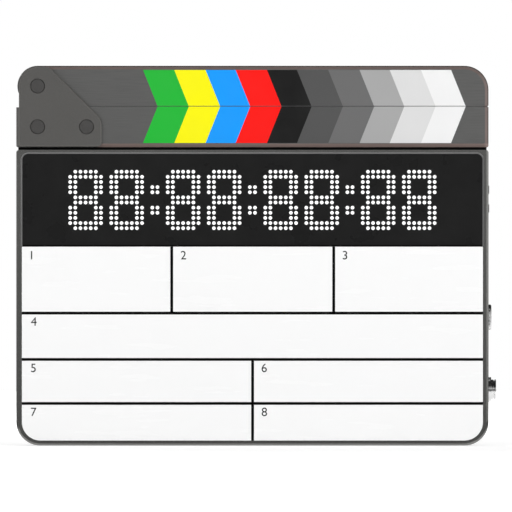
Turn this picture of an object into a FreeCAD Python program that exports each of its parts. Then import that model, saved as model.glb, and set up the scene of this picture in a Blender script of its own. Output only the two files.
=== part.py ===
import FreeCAD, Part

import math
import os

# A clapperboard with a timecode display, in millimetres.
# +X is right as seen from the front, +Y is to the back, +Z is up.
# The origin is in the base face, midway along it and midway through the frame.

V = FreeCAD.Vector
AXIS_X = V(1, 0, 0)
AXIS_Y = V(0, 1, 0)
AXIS_Z = V(0, 0, 1)

# Clearances
running_clearance = 0.05
press_clearance = 0.03
sheet_gap = 0.1
slide_gap = 0.25
moving_gap = 0.4

# Overshoot of a cutting shape past the face that it cuts through
over = 1.0

# Frame
body_width = 250.0
body_height = 156.6
frame_depth = 20.0
frame_wall = 2.9
top_wall = 2.2
bottom_wall = 2.65
corner_radius = 12.8
top_corner_radius = 1.6
edge_round = 1.3
rear_edge_round = 0.8
ledge_width = 5.0
ledge_thickness = 2.0
crossbar_height = 10.0

# Writing board and display panel
board_thickness = 3.0
window_height = 49.0
panel_recess = 0.6
panel_step = 0.4
panel_corner = 3.0
panel_bevel = 0.8

# Dots of the display: one digit drawn on its grid, and the rows that a colon lights
digit_rows = (
    ".#####.",
    "#######",
    "##...##",
    "##...##",
    "##...##",
    ".#####.",
    ".#####.",
    "##...##",
    "##...##",
    "##...##",
    "#######",
    ".#####.",
)
colon_rows = (3, 4, 7, 8)
colon_columns = (0, 1)
digit_columns = 8
colon_gap_columns = 3
display_text = "88:88:88:88"
dot_pitch = 2.717
dot_lift = 0.17
dot_radius = 1.08
dot_height = 0.35
dot_sides = 6

# Sticks
stick_height = 21.55
stick_thickness = 15.0
stick_gap = 0.1
stick_bevel = 1.9
stick_bevel_depth = 1.2
stick_corner = 0.8
stick_side_clearance = 0.2
rail_height = 1.4
rail_inset = 1.0
rail_depth = 12.0
stripe_count = 10
stripe_pitch = 16.31
stripe_slant = 0.4
stripe_end = 12.1
stripe_rim = 0.3
stripe_thickness = 0.6

# Hinge of the sticks
pivot_inset = 11.3
rivet_spacing = 25.9
plate_thickness = 2.4
plate_margin = 9.9
plate_shoulder = 6.1
plate_right_margin = 7.9
plate_bottom_margin = 10.4
plate_bevel = 0.4
plate_small_corner = 1.6
plate_large_corner = 7.4
rivet_head_radius = 3.55
rivet_seat_radius = 3.95
rivet_seat_depth = 1.3
rivet_head_recess = 0.2
rivet_radius = 2.0
pivot_radius = 2.5
bush_wall = 1.5
washer_radius = 6.4
washer_thickness = 0.7
washer_stand_out = 0.1
open_angle = 60.0
stop_pin_radius = 0.9
stop_pin_orbit = 8.6
stop_pin_length = 4.0
stop_pin_angle = 90.0
stop_spare_angle = 3.0

# Magnets and screws of the sticks
magnet_radius = 4.0
magnet_thickness = 3.0
magnet_recess = 0.1
magnet_end_inset = 13.0
magnet_spacing = 67.0
stick_screw_positions = (-60.0, 0.0, 60.0)
stick_screw_radius = 1.5
stick_screw_head_radius = 2.75
stick_screw_head_height = 2.0
stick_screw_grip = 8.0

# Rear cover and battery pod
cover_thickness = 2.4
pod_side = 17.15
pod_head = 9.6
pod_depth = 10.5
pod_taper = 5.0
pod_wall = 2.2
pod_corner = 10.0
pod_foot_corner = 3.0
pod_edge_round = 1.8
pod_boss_radius = 3.2
pod_boss_length = 7.0
pod_boss_inset = 11.5
pillar_radius = 3.2
pillar_inset = 6.0
pillar_port_gap = 2.1
cover_screw_radius = 1.2
cover_screw_head_radius = 2.4
cover_screw_head_height = 1.1
cover_screw_grip = 7.0
grip_width = 25.0
grip_edge_gap = 10.0
grip_bottom = 22.0
grip_height = 104.0
grip_thickness = 1.8
grip_corner = 5.0
grip_groove_count = 12
grip_groove_width = 2.4
grip_groove_depth = 0.7

# Battery cells and their door
cell_count = 6
cell_radius = 7.1
cell_length = 49.0
cell_gap = 0.8
nub_radius = 2.75
nub_height = 1.2
contact_space = 2.6
contact_thickness = 0.4
contact_width = 9.0
bay_foot_gap = 2.4
bay_wall = 1.6
cell_to_door = 1.0
door_thickness = 1.8
door_seat = 1.2
door_barrel_radius = 1.6
door_pin_radius = 0.8
door_lug = 4.0
door_pin_cap = 1.0
door_rib_count = 4
door_rib_length = 34.0
door_rib_width = 1.4
door_rib_height = 0.5
door_rib_pitch = 3.6
scoop_radius = 9.0
scoop_depth = 1.5

# Boards
pcb_thickness = 1.6
post_radius = 2.5
post_inset = 4.0
board_screw_radius = 0.95
board_screw_head_radius = 1.9
board_screw_head_height = 1.4
board_screw_grip = 2.2
main_board_half_width = 46.0
main_board_drop = 1.3
main_board_height = 58.0
main_post_length = 2.6
chip_height = 1.0
chip_size = 12.0
chip_pitch = 20.0
chip_count = 3
ribbon_width = 16.0
ribbon_thickness = 0.3
connector_width = 20.0
connector_length = 4.5
connector_height = 1.0
control_board_half_width = 58.0
control_board_half_height = 14.5
control_post_length = 4.5

# Controls on the back
control_drop = 23.1
status_width = 46.0
status_height = 20.0
status_lens_thickness = 1.1
status_rim = 2.0
status_module_thickness = 2.4
dial_x = -42.0
dial_radius = 10.5
dial_height = 6.5
dial_gap = 0.6
dial_flute_count = 18
dial_flute_radius = 1.1
dial_edge_bevel = 0.8
encoder_size = 12.0
encoder_shaft_radius = 3.0
encoder_shaft_gap = 0.6
key_x = 33.0
key_half_pitch = 6.2
key_radius = 4.0
key_proud = 0.9
key_travel = 0.5
key_flange = 1.0
switch_size = 5.0
switch_plunger_radius = 1.5
switch_plunger_height = 0.5
power_x = 49.0
power_travel = 4.0
power_knob_width = 5.0
power_knob_height = 4.4
power_knob_proud = 1.6
power_flange = 1.4
power_base_width = 15.0
power_base_height = 8.0

# Side buttons
side_button_drop = 21.1
side_button_pitch = 9.9
side_button_height = 4.2
side_button_depth = 9.0
side_button_proud = 0.45
side_button_travel = 0.35
side_button_flange = 0.9
side_button_flange_thickness = 1.5
side_switch_thickness = 2.0
side_switch_size = 4.0
side_plunger_radius = 1.0
side_plunger_height = 0.5
side_post_height = 3.0
side_post_depth = 4.0

# Ports on the right side
port_board_inset = 12.0
port_board_bottom = 20.0
port_board_height = 53.0
port_board_depth = 11.0
jack_z = 68.0
jack_bore_radius = 1.85
jack_bush_radius = 3.0
jack_nut_radius = 6.7
jack_nut_proud = 1.6
jack_nut_bevel = 0.5
jack_body_size = 10.0
jack_bore_length = 13.0
plug_z = 29.7
plug_bore_radius = 3.6
plug_bore_length = 8.0
plug_core_radius = 3.2
plug_body_radius = 4.6
plug_flange_radius = 6.6
plug_flange_thickness = 1.45
plug_collar_radius = 5.3
plug_collar_length = 2.6
plug_groove_depth = 0.45
plug_groove_width = 0.5
plug_nut_radius = 5.9
plug_nut_thickness = 2.4
plug_contact_count = 5
plug_contact_radius = 0.4
plug_contact_depth = 3.0
plug_contact_orbit = 1.9
usb_z = 49.0
usb_width = 8.9
usb_height = 3.3
usb_shell = 0.35
usb_recess = 0.3
usb_tongue_width = 6.4
usb_tongue_height = 0.7
usb_tongue_length = 4.5
usb_tongue_recess = 1.0

# Tripod sockets
socket_x = 45.4
socket_thread_radius = 2.6
socket_depth = 10.0
socket_radius = 4.8
socket_length = 12.0
socket_flange_radius = 6.15
socket_flange_thickness = 1.0
socket_boss_wall = 2.2

# Levels and positions that follow from the values above
half_width = body_width / 2
frame_front = -frame_depth / 2
frame_back = frame_depth / 2
sheet_seat = frame_front + board_thickness
ledge_back = sheet_seat + ledge_thickness
panel_front = frame_front + panel_recess
cover_front = frame_back - cover_thickness
inner_half = half_width - frame_wall
inner_top = body_height - top_wall
board_top = inner_top - window_height
control_z = body_height - control_drop
port_board_x = half_width - port_board_inset
port_board_top = port_board_bottom + port_board_height
socket_boss_top = socket_length + socket_boss_wall
port_y = (ledge_back + cover_front) / 2

stick_bottom = body_height + rail_height
parting_z = stick_bottom + stick_height
clapper_bottom = parting_z + stick_gap
clapper_top = parting_z + stick_height
clapper_height = clapper_top - clapper_bottom
pivot_x = -half_width + pivot_inset
pivot_z = (clapper_bottom + clapper_top) / 2
rivet_z = stick_bottom + stick_height / 2
stick_half = stick_thickness / 2
clapper_half = stick_half - stick_side_clearance
plate_outside = stick_half + plate_thickness
magnet_positions = (half_width - magnet_end_inset - magnet_spacing, half_width - magnet_end_inset)
bush_radius = pivot_radius + running_clearance + bush_wall
washer_seat_depth = washer_thickness - washer_stand_out

pod_front = frame_back
pod_back = frame_back + pod_depth
door_inside = pod_back - door_thickness
cell_y = door_inside - cell_to_door - cell_radius
bay_floor = cell_y - cell_radius - slide_gap
bay_floor_front = bay_floor - bay_wall
cell_pitch = 2 * cell_radius + cell_gap
bay_half_width = cell_count * cell_pitch / 2 + slide_gap
bay_bottom = socket_boss_top + bay_wall + bay_foot_gap
bay_height = cell_length + nub_height + 2 * contact_space
bay_top = bay_bottom + bay_height
door_half_width = bay_half_width + door_seat - slide_gap
door_bottom = bay_bottom - door_seat + slide_gap
door_top = bay_top + 2 * door_barrel_radius + moving_gap
door_axis_y = pod_back - door_barrel_radius
door_axis_z = door_top - door_barrel_radius
hinge_block_top = door_top + 2 * door_barrel_radius
pod_half_width = bay_half_width + bay_wall + pod_side
pod_height = hinge_block_top + pod_head

led_board_back = sheet_seat + pcb_thickness
main_board_bottom = bay_bottom - main_board_drop
main_board_top = main_board_bottom + main_board_height
main_board_back = bay_floor_front - main_post_length
main_board_front = main_board_back - pcb_thickness
control_back = cover_front - control_post_length
control_front = control_back - pcb_thickness
button_flange_inside = inner_half - running_clearance - side_button_flange_thickness
switch_top_x = button_flange_inside - side_button_travel - running_clearance
switch_face_x = switch_top_x - side_plunger_height
button_board_x = switch_face_x - side_switch_thickness
key_flange_back = cover_front - running_clearance
key_flange_front = key_flange_back - key_flange
switch_top_y = key_flange_front - key_travel - running_clearance
side_button_z = body_height - side_button_drop
side_button_heights = (side_button_z, side_button_z - side_button_pitch)
key_heights = (control_z + key_half_pitch, control_z - key_half_pitch)


# Shape helpers
def box(x0, x1, y0, y1, z0, z1):
    return Part.makeBox(x1 - x0, y1 - y0, z1 - z0, V(x0, y0, z0))


def rod_x(x0, x1, y, z, radius):
    return Part.makeCylinder(radius, x1 - x0, V(x0, y, z), AXIS_X)


def rod_y(y0, y1, x, z, radius):
    return Part.makeCylinder(radius, y1 - y0, V(x, y0, z), AXIS_Y)


def rod_z(z0, z1, x, y, radius):
    return Part.makeCylinder(radius, z1 - z0, V(x, y, z0), AXIS_Z)


def join(shapes):
    return shapes[0].fuse(shapes[1:]).removeSplitter()


def rectangle(x0, x1, z0, z1, low_radius=0.0, high_radius=None):
    """Corners (x, z, radius) of an upright rectangle, its lower pair first."""
    high = low_radius if high_radius is None else high_radius
    return [(x0, z0, low_radius), (x1, z0, low_radius), (x1, z1, high), (x0, z1, high)]


def rounded_wire(corners, y):
    """Closed wire in the plane at y through corners (x, z, radius), each rounded by its radius."""
    starts = []
    edges = []
    for i, (x, z, radius) in enumerate(corners):
        here = V(x, y, z)
        before = V(corners[i - 1][0], y, corners[i - 1][1])
        following = corners[(i + 1) % len(corners)]
        after = V(following[0], y, following[1])
        back = (before - here).normalize()
        ahead = (after - here).normalize()
        half_angle = back.getAngle(ahead) / 2
        reach = radius / math.tan(half_angle)
        middle = (back + ahead).normalize() * (radius / math.sin(half_angle) - radius)
        starts.append((here + back * reach, here + middle, here + ahead * reach, radius))
    for i, (enter, middle, leave, radius) in enumerate(starts):
        came_from = starts[i - 1][2]
        if (enter - came_from).Length > 1e-6:
            edges.append(Part.makeLine(came_from, enter))
        if radius > 0:
            edges.append(Part.Arc(enter, middle, leave).toShape())
    return Part.Wire(edges)


def prism(corners, y0, y1):
    return Part.Face(rounded_wire(corners, y0)).extrude(V(0, y1 - y0, 0))


def loft(sections):
    """Solid through outlines, each given as (corners, y)."""
    wires = [rounded_wire(corners, y) for corners, y in sections]
    return Part.makeLoft(wires, True, True)


def edges_at_y(shape, y):
    return [e for e in shape.Edges if all(abs(v.Y - y) < 1e-6 for v in e.Vertexes)]


def ring_y(y0, y1, x, z, outer, inner):
    return rod_y(y0, y1, x, z, outer).cut(rod_y(y0, y1, x, z, inner))


def ring_x(x0, x1, y, z, outer, inner):
    return rod_x(x0, x1, y, z, outer).cut(rod_x(x0, x1, y, z, inner))


def screw_y(x, z, y_seat, head_y, tip_y, radius, head_radius):
    """Screw along Y with its head between y_seat and head_y."""
    head = rod_y(min(y_seat, head_y), max(y_seat, head_y), x, z, head_radius)
    shank = rod_y(min(y_seat, tip_y), max(y_seat, tip_y), x, z, radius)
    return join([head, shank])


def corner_points(half, bottom, top, inset):
    """Four points inset from the corners of a rectangle centred on x = 0."""
    return [(sx * (half - inset), z) for sx in (-1, 1) for z in (bottom + inset, top - inset)]


# Frame and sheets
def inner_outline(margin):
    """Outline inside the frame walls, moved further in by a margin."""
    radius = corner_radius - frame_wall - margin
    half = inner_half - margin
    return rectangle(-half, half, bottom_wall + margin, inner_top - margin, radius, panel_corner)


def pillar_points():
    half = inner_half - pillar_inset
    middle = port_board_top + pillar_port_gap + pillar_radius
    levels = (bottom_wall + pillar_inset, middle, inner_top - pillar_inset)
    return [(sx * half, z) for sx in (-1, 1) for z in levels]


def side_post_levels():
    reach = side_button_height / 2 + side_button_flange + moving_gap + side_post_height / 2
    return (side_button_heights[0] + reach, side_button_heights[1] - reach)


def panel_outline(half, top, radius):
    return rectangle(-half, half, board_top, top, 0.0, radius)


def frame_block():
    """Solid outside of the frame, with rounded edges at the sides and foot and square ones at the top."""
    tall = prism(rectangle(-half_width, half_width, 0, body_height + corner_radius, corner_radius),
                 frame_front, frame_back)
    tall = tall.makeFillet(edge_round, edges_at_y(tall, frame_front))
    tall = tall.makeFillet(rear_edge_round, edges_at_y(tall, frame_back))
    outer = rectangle(-half_width, half_width, 0, body_height, corner_radius, top_corner_radius)
    return tall.common(prism(outer, frame_front, frame_back))


def frame_shell():
    crossbar = box(-half_width, half_width, sheet_seat, ledge_back,
                   board_top - crossbar_height / 2, board_top + crossbar_height / 2)
    opening = prism(inner_outline(ledge_width), sheet_seat, ledge_back).cut(crossbar)
    cavity = prism(inner_outline(0), ledge_back, frame_back)
    radius = corner_radius - frame_wall
    board_pocket = prism(rectangle(-inner_half, inner_half, bottom_wall, board_top, radius, 0.0),
                         frame_front, sheet_seat)
    half = inner_half - panel_step
    panel_pocket = prism(panel_outline(half, inner_top, panel_corner), frame_front, sheet_seat)
    wide = panel_outline(half + panel_bevel, inner_top + panel_bevel, panel_corner + panel_bevel)
    narrow = panel_outline(half, inner_top, panel_corner)
    bevel = loft([(wide, frame_front), (narrow, frame_front + panel_bevel)])
    return frame_block().cut([opening, cavity, board_pocket, panel_pocket, bevel])


def frame_additions():
    pillars = [rod_y(ledge_back, cover_front, x, z, pillar_radius) for x, z in pillar_points()]
    boss_half = socket_radius + socket_boss_wall
    bosses = [box(sx * socket_x - boss_half, sx * socket_x + boss_half, -boss_half, boss_half,
                  bottom_wall / 2, socket_boss_top) for sx in (-1, 1)]
    posts = [box(button_board_x, inner_half + frame_wall / 2,
                 port_y - side_post_depth / 2, port_y + side_post_depth / 2,
                 z - side_post_height / 2, z + side_post_height / 2) for z in side_post_levels()]
    return pillars + bosses + posts


def frame_holes():
    wall_in = inner_half - frame_wall / 2
    wall_out = half_width + frame_wall
    screw_holes = [rod_y(cover_front - cover_screw_grip - over, cover_front, x, z,
                         cover_screw_radius + running_clearance) for x, z in pillar_points()]
    stick_holes = [rod_z(inner_top - over, body_height + over, x, 0, stick_screw_radius + running_clearance)
                   for x in stick_screw_positions]
    sockets = [rod_z(-over, socket_length + press_clearance, sx * socket_x, 0,
                     socket_radius + press_clearance) for sx in (-1, 1)]
    flanges = [rod_z(-over, socket_flange_thickness, sx * socket_x, 0, socket_flange_radius + press_clearance)
               for sx in (-1, 1)]
    buttons = [box(wall_in, wall_out, *button_span(slide_gap, z)) for z in side_button_heights]
    jack = rod_x(wall_in, wall_out, port_y, jack_z, jack_bush_radius + sheet_gap)
    plug = rod_x(wall_in, wall_out, port_y, plug_z, plug_body_radius + sheet_gap)
    usb = usb_block(wall_in, wall_out, sheet_gap)
    return screw_holes + stick_holes + sockets + flanges + buttons + [jack, plug, usb]


def front_frame():
    solid = join([frame_shell()] + frame_additions())
    return solid.cut(frame_holes())


def writing_board():
    half = inner_half - sheet_gap
    radius = corner_radius - frame_wall - sheet_gap
    outline = rectangle(-half, half, bottom_wall + sheet_gap, board_top - sheet_gap, radius, 0.0)
    return prism(outline, frame_front, sheet_seat)


def display_panel():
    half = inner_half - panel_step - sheet_gap
    radius = panel_corner - sheet_gap
    outline = rectangle(-half, half, board_top + sheet_gap, inner_top - sheet_gap, 0.0, radius)
    return prism(outline, panel_front, sheet_seat)


def lit_cells():
    """Column and row of every dot, and the number of columns."""
    cells = []
    column = 0
    last = 0
    for sign in display_text:
        if sign == ":":
            cells += [(column + c, r) for c in colon_columns for r in colon_rows]
            column += colon_gap_columns
        else:
            cells += [(column + c, r) for r, row in enumerate(digit_rows)
                      for c, mark in enumerate(row) if mark == "#"]
            last = column + len(digit_rows[0])
            column += digit_columns
    return cells, last


def led_dots():
    cells, columns = lit_cells()
    middle_z = (board_top + inner_top) / 2 + dot_lift
    dots = []
    for column, row in cells:
        x = (column - (columns - 1) / 2) * dot_pitch
        z = middle_z - (row - (len(digit_rows) - 1) / 2) * dot_pitch
        turns = [2 * math.pi * (i + 0.5) / dot_sides for i in range(dot_sides)]
        corners = [(x + dot_radius * math.cos(a), z + dot_radius * math.sin(a), 0) for a in turns]
        dots.append(prism(corners, panel_front - dot_height, panel_front))
    return Part.makeCompound(dots)


# Sticks and their hinge
def clapper_outline(bevel):
    radius = clapper_height / 2
    x0 = pivot_x - radius
    x1 = half_width - bevel
    top = clapper_top - bevel
    return [(x0, clapper_bottom, radius), (x1, clapper_bottom, stick_corner),
            (x1, top, corner_radius - bevel), (x0, top, radius - bevel)]


def lower_outline(bevel):
    half = half_width - bevel
    return rectangle(-half, half, stick_bottom + bevel, parting_z, stick_corner)


def bevelled_stick(outline, half):
    return loft([(outline(stick_bevel), -half), (outline(0), -half + stick_bevel_depth),
                 (outline(0), half - stick_bevel_depth), (outline(stick_bevel), half)])


def stripe_tiles(root_z, tip_z, front, back):
    """Slanted tiles between the parting line and the rim of a stick."""
    shift = stripe_slant * abs(tip_z - root_z)
    start = half_width - stripe_end - stripe_count * stripe_pitch
    tiles = []
    for i in range(stripe_count):
        x0 = start + i * stripe_pitch
        x1 = x0 + stripe_pitch
        corners = [(x0, root_z, 0), (x1, root_z, 0), (x1 - shift, tip_z, 0), (x0 - shift, tip_z, 0)]
        tiles.append(prism(corners, front, back))
    return tiles


def upper_tiles():
    return stripe_tiles(clapper_bottom, clapper_top - stick_bevel - stripe_rim,
                        -clapper_half, -clapper_half + stripe_thickness)


def lower_tiles():
    return stripe_tiles(parting_z, stick_bottom + stick_bevel + stripe_rim,
                        -stick_half, -stick_half + stripe_thickness)


def arc_slot(radius, half_width_of_slot, from_angle, to_angle, y0, y1):
    """Slot curved about the pivot, between two angles in degrees from +X towards +Z."""
    def at(r, degrees):
        a = math.radians(degrees)
        return V(pivot_x + r * math.cos(a), y0, pivot_z + r * math.sin(a))

    mid = (from_angle + to_angle) / 2
    cap = math.degrees(half_width_of_slot / radius)
    outer = radius + half_width_of_slot
    inner = radius - half_width_of_slot
    edges = [
        Part.Arc(at(outer, from_angle), at(outer, mid), at(outer, to_angle)).toShape(),
        Part.Arc(at(outer, to_angle), at(radius, to_angle + cap), at(inner, to_angle)).toShape(),
        Part.Arc(at(inner, to_angle), at(inner, mid), at(inner, from_angle)).toShape(),
        Part.Arc(at(inner, from_angle), at(radius, from_angle - cap), at(outer, from_angle)).toShape(),
    ]
    return Part.Face(Part.Wire(edges)).extrude(V(0, y1 - y0, 0))


def upper_stick():
    bar = bevelled_stick(clapper_outline, clapper_half)
    bore = rod_y(-clapper_half - over, clapper_half + over, pivot_x, pivot_z, bush_radius + press_clearance)
    seat = washer_radius + press_clearance
    front_seat = rod_y(-clapper_half - over, -clapper_half + washer_seat_depth, pivot_x, pivot_z, seat)
    rear_seat = rod_y(clapper_half - washer_seat_depth, clapper_half + over, pivot_x, pivot_z, seat)
    slot = arc_slot(stop_pin_orbit, stop_pin_radius + slide_gap,
                    stop_pin_angle - open_angle - stop_spare_angle, stop_pin_angle + stop_spare_angle,
                    stick_half - stop_pin_length - moving_gap, clapper_half + over)
    magnets = [rod_z(clapper_bottom - over, clapper_bottom + magnet_thickness + magnet_recess, x, 0,
                     magnet_radius + press_clearance) for x in magnet_positions]
    return bar.cut([bore, front_seat, rear_seat, slot] + magnets + upper_tiles())


def lower_stick():
    bar = bevelled_stick(lower_outline, stick_half)
    relief = box(-half_width - over, pivot_x + clapper_height / 4, -stick_half - over, stick_half + over,
                 parting_z - moving_gap, parting_z + over)
    rivets = [rod_y(-stick_half - over, stick_half + over, x, rivet_z, rivet_radius + press_clearance)
              for x in rivet_positions()]
    screws = [rod_z(stick_bottom - over, stick_bottom + stick_screw_grip, x, 0,
                    stick_screw_radius + press_clearance) for x in stick_screw_positions]
    magnets = [rod_z(parting_z - magnet_thickness - magnet_recess, parting_z + over, x, 0,
                     magnet_radius + press_clearance) for x in magnet_positions]
    return bar.cut([relief] + rivets + screws + magnets + lower_tiles())


def stick_rail():
    half = half_width - rail_inset
    strip = box(-half, half, -rail_depth / 2, rail_depth / 2, body_height, stick_bottom)
    holes = [rod_z(body_height - over, stick_bottom + over, x, 0, stick_screw_radius + running_clearance)
             for x in stick_screw_positions]
    return strip.cut(holes)


def rivet_positions():
    return (pivot_x, pivot_x + rivet_spacing)


def plate_outline():
    left = pivot_x - plate_margin
    right = pivot_x + rivet_spacing + plate_right_margin
    top = pivot_z + plate_margin
    bottom = rivet_z - plate_bottom_margin
    shoulder_x = pivot_x + plate_shoulder
    cheek_z = top - (right - shoulder_x)
    return [(left, bottom, plate_small_corner), (right, bottom, plate_small_corner),
            (right, cheek_z, plate_large_corner), (shoulder_x, top, plate_small_corner),
            (left, top, plate_margin)]


def hinge_plate(side):
    """Plate on the front (side -1) or the back (side 1) of the sticks."""
    inside = side * stick_half
    outside = side * plate_outside
    plate = prism(plate_outline(), inside, outside)
    plate = plate.makeChamfer(plate_bevel, edges_at_y(plate, outside))
    low = min(inside, outside) - over
    high = max(inside, outside) + over
    seat_y = outside - side * rivet_seat_depth
    points = [(x, rivet_z, rivet_radius) for x in rivet_positions()]
    points.append((pivot_x, pivot_z, pivot_radius))
    holes = []
    for x, z, radius in points:
        holes.append(rod_y(low, high, x, z, radius + press_clearance))
        holes.append(rod_y(min(seat_y, outside + side), max(seat_y, outside + side), x, z, rivet_seat_radius))
    return plate.cut(holes)


def rear_hinge_plate():
    x, z = stop_pin_point()
    hole = rod_y(stick_half - over, plate_outside + over, x, z, stop_pin_radius + press_clearance)
    return hinge_plate(1).cut(hole)


def stop_pin_point():
    angle = math.radians(stop_pin_angle)
    return (pivot_x + stop_pin_orbit * math.cos(angle), pivot_z + stop_pin_orbit * math.sin(angle))


def stop_pin():
    x, z = stop_pin_point()
    return rod_y(stick_half - stop_pin_length, plate_outside - plate_bevel, x, z, stop_pin_radius)


def rivet(x, z, radius):
    end = plate_outside - rivet_head_recess
    seat = plate_outside - rivet_seat_depth
    return join([rod_y(-end, end, x, z, radius), rod_y(-end, -seat, x, z, rivet_head_radius),
                 rod_y(seat, end, x, z, rivet_head_radius)])


def plate_rivets():
    return Part.makeCompound([rivet(x, rivet_z, rivet_radius) for x in rivet_positions()])


def pivot_rivet():
    return rivet(pivot_x, pivot_z, pivot_radius)


def pivot_bush():
    end = clapper_half - washer_seat_depth
    return ring_y(-end, end, pivot_x, pivot_z, bush_radius, pivot_radius + running_clearance)


def thrust_washers():
    seat = clapper_half - washer_seat_depth
    out = clapper_half + washer_stand_out
    inner = pivot_radius + running_clearance
    return Part.makeCompound([ring_y(-out, -seat, pivot_x, pivot_z, washer_radius, inner),
                              ring_y(seat, out, pivot_x, pivot_z, washer_radius, inner)])


def upper_magnets():
    z = clapper_bottom + magnet_recess
    return Part.makeCompound([rod_z(z, z + magnet_thickness, x, 0, magnet_radius) for x in magnet_positions])


def lower_magnets():
    z = parting_z - magnet_recess
    return Part.makeCompound([rod_z(z - magnet_thickness, z, x, 0, magnet_radius) for x in magnet_positions])


def stick_screws():
    screws = []
    for x in stick_screw_positions:
        head = rod_z(inner_top - stick_screw_head_height, inner_top, x, 0, stick_screw_head_radius)
        shank = rod_z(inner_top, stick_bottom + stick_screw_grip, x, 0, stick_screw_radius)
        screws.append(join([head, shank]))
    return Part.makeCompound(screws)


# Rear cover
def control_posts():
    return [rod_y(control_back, cover_front + cover_thickness / 2, x, z, post_radius)
            for x, z in control_post_points()]


def control_post_points():
    low = control_z - control_board_half_height
    high = control_z + control_board_half_height
    return corner_points(control_board_half_width, low, high, post_inset)


def cover_holes():
    half = bay_half_width + bay_wall + sheet_gap
    reach = bay_wall + sheet_gap
    tub = box(-half, half, cover_front - over, frame_back + over, bay_bottom - reach, bay_top + reach)
    holes = [tub]
    for x, z in pillar_points():
        holes.append(rod_y(cover_front - over, frame_back + over, x, z, cover_screw_radius + sheet_gap))
        holes.append(rod_y(frame_back - cover_screw_head_height - sheet_gap, frame_back + over, x, z,
                           cover_screw_head_radius + slide_gap))
    for x, z in pod_boss_points():
        holes.append(rod_y(cover_front - over, frame_back + over, x, z, cover_screw_radius + sheet_gap))
    for x, z in control_post_points():
        holes.append(rod_y(control_back, control_back + board_screw_grip + over, x, z,
                           board_screw_radius + press_clearance))
    return holes


def control_holes():
    half = status_width / 2
    low = control_z - status_height / 2
    high = control_z + status_height / 2
    window = box(-half + status_rim, half - status_rim, cover_front - over, frame_back + over,
                 low + status_rim, high - status_rim)
    lens_seat = box(-half - sheet_gap, half + sheet_gap, frame_back - status_lens_thickness - sheet_gap,
                    frame_back + over, low - sheet_gap, high + sheet_gap)
    dial = rod_y(cover_front - over, frame_back + over, dial_x, control_z,
                 encoder_shaft_radius + encoder_shaft_gap)
    keys = [rod_y(cover_front - over, frame_back + over, key_x, z, key_radius + slide_gap)
            for z in key_heights]
    slot_half = power_knob_height / 2 + slide_gap
    power = box(power_x - power_knob_width / 2 - slide_gap,
                power_x + power_knob_width / 2 + power_travel + slide_gap,
                cover_front - over, frame_back + over, control_z - slot_half, control_z + slot_half)
    return [window, lens_seat, dial, power] + keys


def rear_cover():
    plate = prism(inner_outline(sheet_gap), cover_front, frame_back)
    return join([plate] + control_posts()).cut(cover_holes() + control_holes())


def cover_screws():
    head_seat = frame_back - cover_screw_head_height - sheet_gap
    return Part.makeCompound([screw_y(x, z, head_seat, frame_back - sheet_gap, cover_front - cover_screw_grip,
                                      cover_screw_radius, cover_screw_head_radius)
                              for x, z in pillar_points()])


def grip_pad(side):
    far = side * (inner_half - grip_edge_gap)
    near = far - side * grip_width
    left = min(near, far)
    right = max(near, far)
    outline = rectangle(left, right, grip_bottom, grip_bottom + grip_height, grip_corner)
    top = frame_back + grip_thickness
    pad = prism(outline, frame_back, top)
    pitch = (grip_height - 2 * grip_corner) / grip_groove_count
    grooves = []
    for i in range(grip_groove_count):
        z = grip_bottom + grip_corner + (i + 0.5) * pitch
        grooves.append(box(left + grip_corner, right - grip_corner, top - grip_groove_depth, top + over,
                           z - grip_groove_width / 2, z + grip_groove_width / 2))
    return pad.cut(grooves)


def grip_pads():
    return Part.makeCompound([grip_pad(-1), grip_pad(1)])


# Battery pod
def pod_outline(y, inset, bottom):
    """Outline of the pod at a depth y, where it has tapered in, moved further in by an inset."""
    taper = pod_taper * (y - pod_front) / (pod_back - pod_front)
    half = pod_half_width - taper - inset
    return rectangle(-half, half, bottom, pod_height - taper - inset, pod_foot_corner, pod_corner - inset)


def pod_shell():
    shell = loft([(pod_outline(y, 0, 0), y) for y in (pod_front, pod_back)])
    shell = shell.makeFillet(pod_edge_round, edges_at_y(shell, pod_back))
    levels = (pod_front - over, pod_back - pod_wall)
    cavity = loft([(pod_outline(y, pod_wall, pod_wall), y) for y in levels])
    return shell.cut(cavity)


def pod_boss_points():
    """Bosses for the pod's screws, the lower pair above the bosses of the tripod sockets."""
    half = pod_half_width - pod_boss_inset
    low = socket_boss_top + cover_screw_head_radius + moving_gap
    return [(sx * half, z) for sx in (-1, 1) for z in (low, pod_height - pod_boss_inset)]


def pod_additions():
    tub = box(-bay_half_width - bay_wall, bay_half_width + bay_wall, bay_floor_front, pod_back - pod_wall / 2,
              bay_bottom - bay_wall, bay_top + bay_wall)
    lug_half = bay_half_width + door_seat + door_lug
    hinge_block = box(-lug_half, lug_half, door_axis_y - 2 * door_barrel_radius, pod_back - pod_wall / 2,
                      bay_top, hinge_block_top)
    posts = [rod_y(main_board_back, bay_floor_front + bay_wall / 2, x, z, post_radius)
             for x, z in main_post_points()]
    bosses = [rod_y(pod_front, pod_back - pod_wall / 2, x, z, pod_boss_radius) for x, z in pod_boss_points()]
    return [tub, hinge_block] + posts + bosses


def main_post_points():
    low = max(main_board_bottom, bay_bottom)
    high = min(main_board_top, bay_top)
    return corner_points(main_board_half_width, low, high, post_inset + bay_wall)


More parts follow.
